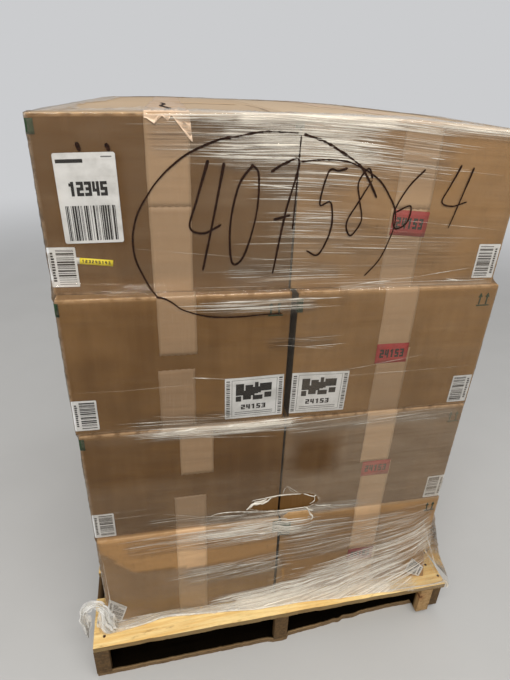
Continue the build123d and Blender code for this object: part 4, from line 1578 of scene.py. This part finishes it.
# White lines that stand out in the film, partly painted glints, as (tier, (u, v), (u, v), width, strength)
BOLD = (
    (1, (268, 252), (460, 241), 2.0, 0.7), (1, (360, 202), (464, 192), 2.4, 0.8),
    (1, (129, 90), (557, 48), 1.2, 0.3), (1, (457, 137), (546, 144), 1.8, 0.6),
    (1, (513, 251), (660, 236), 2.2, 0.75), (1, (660, 236), (880, 231), 1.6, 0.45),
    (1, (525, 144), (651, 139), 1.8, 0.5), (1, (651, 139), (894, 123), 1.5, 0.45),
    (1, (543, 4), (735, 22), 2.2, 0.6), (1, (735, 22), (860, 40), 2.0, 0.6), (1, (801, 16), (843, 9), 3.0, 0.8),
    (2, (263, 297), (556, 298), 4.0, 0.8), (2, (243, 129), (318, 120), 2.6, 0.9),
    (2, (157, 37), (307, 20), 1.8, 0.5), (2, (414, 212), (510, 203), 1.4, 0.4),
    (2, (418, 195), (548, 179), 1.6, 0.45), (3, (150, 305), (285, 310), 5.0, 0.85),
    (3, (285, 309), (455, 309), 6.0, 0.85), (3, (149, 292), (435, 270), 1.8, 0.5),
    (3, (160, 62), (254, 37), 1.6, 0.45), (3, (254, 37), (366, 25), 2.6, 0.75),
    (3, (560, 29), (651, 18), 2.4, 0.6), (4, (286, 313), (439, 303), 2.4, 0.7),
    (4, (286, 283), (367, 277), 3.0, 0.85), (4, (367, 277), (511, 263), 4.2, 0.95),
    (4, (320, 302), (395, 296), 3.0, 0.85), (4, (413, 294), (503, 286), 3.4, 0.9),
    (4, (376, 254), (421, 249), 2.4, 0.75), (4, (286, 185), (309, 183), 2.2, 0.7),
    (4, (286, 172), (432, 157), 2.8, 0.85), (4, (292, 142), (351, 139), 2.4, 0.75),
    (4, (377, 136), (402, 133), 2.4, 0.8), (4, (421, 128), (449, 128), 2.4, 0.75),
    (4, (443, 157), (460, 155), 2.0, 0.6), (4, (482, 107), (524, 111), 2.6, 0.75),
    (4, (564, 103), (594, 101), 2.2, 0.6), (4, (461, 144), (585, 156), 1.6, 0.5),
    (4, (522, 246), (616, 253), 2.2, 0.6), (4, (655, 136), (841, 181), 2.4, 0.7),
    (4, (841, 181), (892, 216), 2.6, 0.7), (4, (617, 40), (822, 84), 3.6, 0.85),
    (4, (628, 24), (823, 60), 3.2, 0.85), (4, (341, 27), (509, 45), 2.6, 0.75),
    (4, (509, 52), (700, 96), 2.6, 0.75), (4, (643, 10), (834, 24), 3.4, 0.85),
    (4, (380, 12), (560, 24), 3.0, 0.8), (4, (560, 30), (760, 66), 3.0, 0.8),
    (4, (700, 96), (850, 150), 2.4, 0.7), (4, (600, 70), (800, 130), 2.0, 0.6),
    (4, (20, 30), (230, 16), 2.4, 0.5), (4, (120, 20), (420, 8), 3.0, 0.6),
    (4, (880, 240), (910, 20), 4.0, 0.6), (4, (862, 210), (899, 30), 2.2, 0.4),
    (4, (2, 250), (6, 30), 3.0, 0.5), (4, (400, 70), (640, 118), 2.2, 0.6), (4, (460, 36), (690, 76), 3.0, 0.8),
    (4, (540, 14), (770, 40), 3.0, 0.75), (4, (560, 180), (850, 262), 1.6, 0.45),
    (4, (500, 205), (800, 270), 1.4, 0.4), (4, (620, 170), (870, 245), 1.6, 0.45),
    (2, (0, 108), (250, 112), 1.0, 0.35), (2, (560, 120), (770, 150), 1.6, 0.5),
    (2, (556, 108), (900, 112), 1.4, 0.4), (3, (0, 84), (160, 86), 1.2, 0.3), (3, (0, 66), (150, 66), 1.2, 0.3),
)


def front_line(shape, start, end, width, strength, seed):
    """A ribbon straight across the front between two places given as (u, height above the floor)."""
    count = max(6, int(math.dist(start, end) / 7))
    share = np.linspace(0, 1, count)
    along = start[0] + (end[0] - start[0]) * share
    z = start[1] + (end[1] - start[1]) * share + 0.7 * noise(share * count / 5, seed, 91)
    places, normals = film_at(0, along, z)
    broken = 0.72 + 0.5 * noise(share * count / 3, seed, 93)
    ribbon(shape, places, normals, width, 0.3 * width, strength * np.clip(broken, 0.15, 1.1))


for number, (tier, start, end, width, strength) in enumerate(BOLD):
    floor = tier_floor(tier)
    front_line(pleats_and_glints, (start[0], floor + start[1]), (end[0], floor + end[1]), width, strength, number)

# The tear's rim, as (x, height above the seam) with the width at each end and the strength
RIM = (
    (((-78, 70), (-71, 73), (-48, 75), (-25, 78), (-2, 79), (21, 79), (50, 77)), 2.8, 0.9),
    (((-91, 44), (-84, 52), (-76, 61), (-62, 61), (-47, 62), (-36, 66), (-29, 74)), 7.0, 0.9),
    (((-72, 67), (-55, 67), (-40, 71)), 5.0, 0.9),
    (((-182, 37), (-166, 42), (-140, 43), (-110, 40), (-89, 36), (-60, 30), (-46, 28)), 2.6, 0.7),
    (((-50, 28), (-10, 25.5), (19, 26), (42, 27), (66, 28)), 2.6, 0.85),
    (((58, 76), (66, 73), (75, 68), (87, 63.5), (92, 68)), 3.6, 0.9),
    (((87, 63), (90, 53), (86, 44), (78, 38)), 2.6, 0.7),
    (((64, 29), (73, 23), (80, 6), (84, -11), (79, -14)), 4.0, 0.85),
    (((70, 27), (75, 19), (90, 13)), 3.4, 0.8),
    (((94, 31), (108, 28), (122, 27), (137, 26)), 2.6, 0.8),
    (((2, 82), (6, 98), (13, 106), (25, 97), (44, 81)), 1.8, 0.35),
    (((15, 103), (22, 92), (34, 83)), 1.6, 0.3),
)


def rolled(shape, points, width, strength, seed):
    """A lumpy round roll of film that follows points on the front given as (x, height above the seam)."""
    path = smooth_path(points, 3.0)
    z = path[:, 1] + DECK_TOP + H
    along = path[:, 0] - film_points[0, 0, 0] - foot_out[0]
    places, normals = film_at(0, along, z)
    count = len(path)
    taper = np.sin(np.linspace(0.15, math.pi - 0.15, count)) ** 0.4
    wide = width / 2 * taper * (1 + 0.35 * noise(np.arange(count) / 2.5, seed, 95))
    side = np.cross(normals, unit(np.gradient(places, axis=0)))
    turns = np.linspace(0, 2 * math.pi, 9)
    tube = (places + normals * (0.4 + wide[:, None] * 0.6))[:, None, :] + wide[:, None, None] * (
        np.cos(turns)[None, :, None] * side[:, None, :]
        + 0.7 * np.sin(turns)[None, :, None] * normals[:, None, :]
    )
    white = np.repeat((strength * (0.8 + 0.25 * noise(np.arange(count) / 3, seed, 96)))[:, None], 9, 1)
    shape.grid(tube, strength=white, **flow_values(places, turns / math.pi))


for number, (points, width, strength) in enumerate(RIM):
    rolled(pleats_and_glints, points, width, strength, number)


def rope(shape, points, radii, strength, seed, flat=1.0):
    """A twisted, lumpy bunch of film along a free path."""
    path = smooth_path(points, 4.0)
    count = len(path)
    radius = np.interp(np.linspace(0, 1, count), np.linspace(0, 1, len(radii)), radii)
    way = unit(np.gradient(path, axis=0))
    side = unit(np.cross(way, np.array((0.0, 0.0, 1.0))))
    lift = np.cross(side, way)
    turns = np.linspace(0, 2 * math.pi, 15)
    step = np.arange(count)[:, None]
    lump = 1 + 0.16 * np.sin(3 * turns[None, :] + step / 9 + seed)
    lump = lump + 0.26 * noise(step / 8, np.sin(turns)[None, :] * 2, seed)
    reach = radius[:, None] * lump
    tube = (
        path[:, None, :] + (reach * np.cos(turns))[..., None] * side[:, None, :]
        + (flat * reach * np.sin(turns))[..., None] * lift[:, None, :]
    )
    if tube[..., 2].min() > DECK_TOP - 8:
        tube[..., 2] = np.maximum(tube[..., 2], DECK_TOP + 0.4)
    white = np.clip(strength * (0.9 + 0.2 * noise(step / 6, turns[None, :] * 1.5, seed + 1)), 0, 1)
    shape.grid(tube, strength=white, **flow_values(path, turns / math.pi * 1.6))


def crinkled(shape, points, widths, twist, seed, strength=1.0):
    """A crumpled strip of film along a free path, pleated lengthways and twisted from one angle to another."""
    pitch = 2.5
    middle = smooth_path(points, pitch)
    count = len(middle)
    share = np.linspace(0, 1, count)
    half = np.interp(share, np.linspace(0, 1, len(widths)), widths)[:, None]
    across = np.linspace(-1, 1, 19)[None, :]
    way = unit(np.gradient(middle, axis=0))
    side = unit(np.cross(way, np.array((0.2, -0.98, 0.0))))
    facing = np.cross(side, way)
    angle = np.interp(share, (0, 1), twist)[:, None]
    flat = np.cos(angle) * side + np.sin(angle) * facing
    out = np.cos(angle) * facing - np.sin(angle) * side
    length = (share * count * pitch)[:, None]
    pleat = 0.50 * noise(across * 2.6 + seed, length / 30, seed)
    pleat = half * (pleat + 0.20 * np.abs(noise(across * 5, length / 16, seed + 1)))
    edge = 1 + 0.20 * noise(length / 12, np.sign(across) + seed, seed + 2) * np.abs(across)
    spots = middle[:, None, :] + (half * across * edge)[..., None] * flat[:, None, :]
    spots = spots + pleat[..., None] * out[:, None, :]
    over_deck = (np.abs(spots[..., 0]) < PALLET_HALF_WIDE) & (spots[..., 1] > -PALLET_HALF_LONG)
    spots[..., 2] = np.where(over_deck, np.maximum(spots[..., 2], DECK_TOP + 0.5), spots[..., 2])
    white = np.clip(strength * (0.72 + 0.6 * np.abs(noise(across * 4, length / 22, seed + 3))), 0, 1)
    shape.grid(spots, strength=white, **flow_values(middle, across[0] + seed))


gathered, crumpled = Shape(), Shape()
HEM = (
    (-458, -569, 133.5), (-410, -571, 133.5), (-361, -566, 133.5), (-327, -560, 134), (-284, -562, 133.5),
    (-228, -567, 133), (-143, -575, 132.5), (-58, -583, 132), (59, -586, 132), (162, -594, 132),
    (269, -599, 132), (373, -602, 132), (454, -606, 132), (503, -604, 132),
)
rope(gathered, HEM, (4.4, 3.2, 2.6, 2.8, 3.0, 3.2, 2.6, 2.2, 2.0, 1.8, 1.6, 1.6, 1.6, 2.4), 0.95, 3, 0.7)

# Crumpled film along the left half of the hem, and a loop, a wad and a tail at the left front corner
HEM_LEFT = ((-470, -560, 136), (-420, -561, 137), (-370, -556, 137), (-320, -552, 137), (-260, -554, 136))
HEM_MIDDLE = ((-340, -556, 136), (-250, -560, 137), (-150, -568, 137), (-60, -576, 136))
LOOP = (
    (-531, -541, 176), (-527, -540, 188), (-517, -540, 199), (-506, -541, 206), (-494, -543, 207),
    (-482, -547, 202), (-475, -552, 190),
)
WAD = (
    (-484, -548, 202), (-476, -553, 192), (-474, -560, 176), (-468, -566, 158), (-461, -569, 143),
    (-449, -570, 134),
)
TAIL = ((-528, -541, 182), (-531, -540, 168), (-529, -540, 143), (-530, -540, 109), (-530, -541, 72))
crinkled(crumpled, HEM_LEFT, (15, 13, 10, 8, 3), (1.25, 1.4), 23)
crinkled(crumpled, HEM_MIDDLE, (4, 9, 10, 4), (1.3, 1.4), 27, 0.9)
for number, (points, widths, twist) in enumerate((
    (LOOP, (8, 12, 14, 13, 12, 12), (0.2, 0.9)), (LOOP, (6, 8, 10, 10, 9, 8), (1.5, 2.1)),
    (WAD, (10, 17, 22, 23, 18, 8), (0.0, 0.5)), (WAD, (9, 15, 19, 20, 17, 10), (1.1, 1.7)),
    (WAD, (8, 12, 17, 20, 17, 12), (-0.8, -0.3)), (WAD, (6, 11, 15, 16, 13, 8), (2.3, 2.8)),
    (TAIL, (8, 14, 15, 11, 6, 1.6), (0.1, 0.5)), (TAIL[1:], (6, 10, 9, 5, 1.5), (0.9, 1.3)),
)):
    crinkled(crumpled, points, widths, twist, 31 + 6 * number)
rope(gathered, ((502, -600, 133), (509, -606, 130), (513, -611, 124), (512, -613, 116)), (4, 5.5, 5, 2.5), 0.95, 17)
white_lines = pleats_and_glints.build("film_pleats_and_glints", PLEAT_AND_GLINT)
film_rope = gathered.build("film_gathered_hem", PLEAT_AND_GLINT)
crumpled.build("film_crumpled_tail", BUNCHED)


# The hand-drawn marks, which lie on the film

def on_film(tier, u, v, out):
    """Points on the film over a tier's front, out millimetres off it."""
    u, v = np.broadcast_arrays(np.asarray(u, float), np.asarray(v, float))
    along = np.clip(u.ravel() * tier_span(4) / tier_span(tier), 1, SIDE_LENGTHS[0] - 1)
    z = v.ravel() + tier_floor(tier)
    places, normals = film_at(0, along, z)
    return (places + normals * out).reshape(*u.shape, 3)


marks = Shape()


def stroke(tier, points, width):
    """A marker line over a tier's front, ragged where the film under it is bunched."""
    path = smooth_path(points, 3.0)
    count = np.arange(len(path))
    wrinkled = density(0, path[:, 0], path[:, 1] + tier_floor(tier))
    ragged = 0.2 * noise(count / 18, tier * 3.1, 9) + 0.5 * wrinkled * noise(count / 1.7, tier * 5.1, 11)
    ends = np.clip(np.minimum(count + 1, len(path) - count) / 2, 0.45, 1)
    wide = width * (0.9 + ragged) * ends * np.linspace(1.12, 0.85, len(path))
    spots = across_path(path, wide, np.linspace(-0.5, 0.5, 5))
    marks.grid(on_film(tier, spots[..., 0], spots[..., 1], MARK_OUT), worn=np.repeat(wrinkled[:, None], 5, 1))


# Each digit as strokes in a box one wide and one high
DIGITS = {
    "0": [(
        (0.62, 1.0), (0.22, 0.8), (0.08, 0.42), (0.28, 0.04), (0.66, 0.1), (0.92, 0.52), (0.84, 0.9),
        (0.55, 1.0),
    )],
    "4": [
        ((0.42, 1.0), (0.22, 0.66), (0.1, 0.42), (0.5, 0.36), (0.98, 0.44)),
        ((0.86, 0.98), (0.74, 0.5), (0.6, 0.0)),
    ],
    "5": [(
        (0.98, 1.0), (0.7, 0.97), (0.38, 0.96), (0.3, 0.62), (0.66, 0.64), (0.86, 0.36), (0.62, 0.06),
        (0.16, 0.1),
    )],
    "6": [((0.86, 1.0), (0.44, 0.7), (0.18, 0.3), (0.36, 0.02), (0.72, 0.12), (0.7, 0.4), (0.24, 0.3))],
    "7": [((0.08, 0.9), (0.5, 0.97), (0.96, 0.98), (0.7, 0.55), (0.5, 0.0)), ((0.32, 0.5), (0.88, 0.54))],
    "8": [(
        (0.8, 0.86), (0.54, 1.0), (0.28, 0.8), (0.5, 0.54), (0.78, 0.24), (0.5, 0.0), (0.2, 0.2), (0.48, 0.52),
        (0.8, 0.84),
    )],
}


def digit(character, u, v, width, height, lean, thick):
    """A hand-drawn digit on the top tier, its top leaning to the right."""
    for points in DIGITS[character]:
        stroke(1, [(u + x * width + y * height * lean, v + y * height) for x, y in points], thick)


RING_LEFT = (
    (451, 285), (428, 286), (394, 286), (369, 283), (344, 278), (316, 274), (294, 267), (269, 257), (249, 247),
    (229, 233), (211, 218), (192, 198), (179, 180), (168, 164), (158, 144), (152, 124), (149, 106), (149, 85),
    (152, 66), (159, 46), (168, 26), (178, 9), (185, 0),
)
RING_LOW = (
    (183, 311), (197, 309), (211, 301), (227, 288), (244, 280), (272, 271), (301, 266), (345, 265),
    (389, 267), (434, 268),
)
ARC_THICK = ((461, 283), (499, 273), (533, 257), (569, 237), (586, 220), (604, 195), (614, 179))
ARC_THIN = (
    (459, 239), (502, 243), (541, 242), (569, 234), (594, 223), (620, 206), (642, 180), (655, 159), (660, 132),
    (654, 99), (639, 58), (613, 26),
)
for tier, points, width in (
    (1, RING_LEFT, 3.8), (2, RING_LOW, 3.2), (1, ARC_THICK, 5.2), (1, ARC_THIN, 3.4),
    (1, ((456, 280), (454, 190), (452, 120)), 3.4),
):
    stroke(tier, points, width)
for drawn in (
    ("4", 238, 44, 66, 196, 0.12, 5.2), ("0", 318, 52, 56, 182, 0.10, 4.6), ("7", 388, 34, 58, 208, 0.06, 4.8),
    ("5", 472, 62, 58, 168, 0.12, 4.2), ("8", 546, 108, 50, 122, 0.14, 3.8), ("6", 640, 120, 60, 112, 0.12, 3.6),
    ("4", 742, 124, 62, 120, 0.10, 3.8),
):
    digit(*drawn)
stroke(1, ((70, 268), (72, 261), (74, 254)), 7)
stroke(1, ((117, 266), (120, 260), (122, 254)), 7)
marks.build("marker_strokes", INK)


# The torn end of tape folded down over the top left carton's front edge

FLAP_LEFT, FLAP_RIGHT, FLAP_TOP = 187, 262, 309
FLAP_EDGE = ((187, 192, 203, 216, 226, 231, 259, 262), (304, 303, 295, 307, 299, 309, 270, 268))
FLAP_OUT = 0.9
FLAP_BACK = 34.0


def tape_flap():
    shape = Shape()
    u = np.linspace(FLAP_LEFT, FLAP_RIGHT, 34)
    low = np.interp(u, *FLAP_EDGE)
    down = np.linspace(0, 1, 12)[:, None]
    v = FLAP_TOP - down * (FLAP_TOP - low[None, :])
    wide_u = u[None, :] + 4 * down * ((u - FLAP_LEFT) / (FLAP_RIGHT - FLAP_LEFT))[None, :] ** 3 + 0 * v
    crumple = np.abs(noise(wide_u / 9 + down * 1.5, v / 14, 121)) * 3.0
    crumple = crumple + 2.2 * ridges((wide_u + v) / 16, v / 40, 123)
    lifted = (crumple * (0.25 + down))[..., None] * np.array((0.0, -1.0, 0.12))
    tone = np.clip(0.7 + 0.5 * noise(wide_u / 11, v / 9, 125), 0, 1)
    shape.grid(on_front(1, wide_u, v, FLAP_OUT) + lifted, tone=tone)
    over = np.linspace(0, 1, 8)[:, None]
    edge = on_front(1, u, 0 * u + FLAP_TOP, FLAP_OUT)
    back = edge[None, :, :] + over[..., None] * np.array((0.0, FLAP_BACK, 0.0))
    bumps = 1.2 + 1.2 * np.abs(noise(u[None, :] / 9, over * 3, 127))
    back[..., 2] = top_height(back[..., :2].reshape(-1, 2)).reshape(back.shape[:2]) + bumps
    back[0] = edge
    shape.grid(back, tone=np.full(back.shape[:2], 0.8))
    piece = shape.build("tape_torn_end", TORN_TAPE)
    return piece


tape_flap()

# Drawn and stuck things on the top, as (x, y)
TOP_MARK = ((-250, -150), (-247, -235), (-257, -320), (-250, -390), (-246, -430), (-258, -480))
TOP_STRIP = ((-217, -132), (-165, -112), (-110, -88), (-62, -72))
TOP_SCORE = ((-40, -86), (-43, -251), (-67, -462), (-78, -490))
TOP_SCORE_RIGHT = ((102, -55), (114, -175), (138, -268))


def strip_on_top(name, points, width, material, pitch, lift, ragged):
    """A narrow flat strip along places on the load's top."""
    shape = Shape()
    path = smooth_path(points, pitch)
    wide = width * (1 + ragged * noise(np.arange(len(path)) / 4, width, 131))
    spots = across_path(path, wide, np.array((-0.5, 0.0, 0.5)))
    high = top_height(spots.reshape(-1, 2)).reshape(spots.shape[:2]) + lift
    shape.grid(np.concatenate((spots, high[..., None]), -1))
    shape.build(name, material)


for strip in (
    ("marker_on_top", TOP_MARK, 7.2, INK, 5.0, 1.4, 0.0),
    ("strip_orange", TOP_STRIP, 22, STRIP_ORANGE, 6.0, 1.3, 0.3),
    ("score_on_top_left", TOP_SCORE, 2.0, INK, 6.0, 1.3, 0.3),
    ("score_on_top_right", TOP_SCORE_RIGHT, 2.0, INK, 6.0, 1.3, 0.3),
):
    strip_on_top(*strip)


# Floor, backdrop, light and camera

BACKDROP = srgb(203, 204, 206)
AMBIENT = (0.41, 0.41, 0.42)
FLOOR_HALF = 30


def stage_material():
    """A plain pale floor that turns into the backdrop's own colour far from the load."""
    p = Paint("stage_pale")
    grain = p.noise(p.place(), 3.0, 3.0, 0.5)
    plain = p.surface(p.mix(grain, srgb(190, 190, 188), srgb(198, 198, 196)), 0.85, None, 0.2)
    glow = p.node("ShaderNodeEmission", None, Color=BACKDROP).outputs[0]
    far = p.node("ShaderNodeVectorMath", {"operation": "LENGTH"}, _0=p.place()).outputs["Value"]
    return p.finish(p.blend(p.band(far, 2.2, 6.5), plain, glow))


floor_mesh = bpy.data.meshes.new("floor")
floor_corners = [(FLOOR_HALF * x, FLOOR_HALF * y, 0) for x, y in outward.tolist()]
floor_mesh.from_pydata(floor_corners, [], [(0, 1, 2, 3)])
floor_mesh.materials.append(stage_material())
floor = bpy.data.objects.new("floor", floor_mesh)
bpy.context.scene.collection.objects.link(floor)

world = bpy.data.worlds.new("studio")
bpy.context.scene.world = world
world.use_nodes = True
tree = world.node_tree
background = tree.nodes["Background"]
background.inputs["Strength"].default_value = 1.0
seen_by = tree.nodes.new("ShaderNodeLightPath")
direct = seen_by.outputs["Is Camera Ray"]
for ray in ("Is Glossy Ray", "Is Transmission Ray"):
    either = tree.nodes.new("ShaderNodeMath")
    either.operation = "MAXIMUM"
    tree.links.new(direct, either.inputs[0])
    tree.links.new(seen_by.outputs[ray], either.inputs[1])
    direct = either.outputs[0]
shown = tree.nodes.new("ShaderNodeMix")
shown.data_type = "RGBA"
shown.inputs[6].default_value = (*AMBIENT, 1)
shown.inputs[7].default_value = (*BACKDROP, 1)
tree.links.new(direct, shown.inputs[0])
tree.links.new(shown.outputs[2], background.inputs["Color"])


# Lamps, as (name, place, what it points at, size, power, colour, whether it shows in gloss)
WARM, SOFT = (1.0, 0.97, 0.93), (1.0, 0.98, 0.95)
for name, place, target, size, power, colour, mirrored in (
    ("overhead", (0.2, 0.3, 3.7), (0.1, 0.2, 0.0), (2.6, 2.2), 14, WARM, False),
    ("strip_near", (0.0, -1.7, 3.3), (0, -0.4, 0.6), (3.4, 0.10), 30, WARM, True),
    ("strip_far", (0.2, -2.9, 3.4), (0, -0.4, 0.6), (3.4, 0.10), 34, WARM, True),
    ("front_fill", (-1.4, -3.3, 3.7), (0, 0, 0.7), (2.4, 1.6), 64, SOFT, False),
    ("strip_back", (-0.4, 2.4, 3.0), (0, 0.4, 0.6), (3.0, 0.22), 16, SOFT, False),
):
    light = bpy.data.lights.new(name, "AREA")
    light.shape = "RECTANGLE"
    light.size, light.size_y = size
    light.energy = power
    light.color = colour
    lamp = bpy.data.objects.new(name, light)
    lamp.location = place
    lamp.rotation_euler = (Vector(target) - Vector(place)).to_track_quat("-Z", "Y").to_euler()
    lamp.visible_glossy = mirrored
    bpy.context.scene.collection.objects.link(lamp)

# Metres and degrees; the focal length is in pixels of a picture 680 high

CAMERA_AT = (-0.2983, -1.4041, 1.4222)
YAW, PITCH, ROLL = 13.20, 27.41, 2.39
FOCAL_PIXELS = 480.8
IMAGE_LONG = 680
SENSOR = 36.0
camera_data = bpy.data.cameras.new("camera")
camera_data.sensor_fit = "AUTO"
camera_data.sensor_width = SENSOR
camera_data.lens = FOCAL_PIXELS / IMAGE_LONG * SENSOR
camera = bpy.data.objects.new("camera", camera_data)
yaw, pitch, roll = (math.radians(a) for a in (YAW, PITCH, ROLL))
forward = Vector((math.sin(yaw) * math.cos(pitch), math.cos(yaw) * math.cos(pitch), -math.sin(pitch)))
level_right = Vector((math.cos(yaw), -math.sin(yaw), 0))
level_up = level_right.cross(forward)
right = math.cos(roll) * level_right + math.sin(roll) * level_up
up = -math.sin(roll) * level_right + math.cos(roll) * level_up
camera.matrix_world = Matrix.Translation(CAMERA_AT) @ Matrix((right, up, -forward)).transposed().to_4x4()
bpy.context.scene.collection.objects.link(camera)
bpy.context.scene.camera = camera
bpy.context.scene.view_settings.view_transform = "Standard"
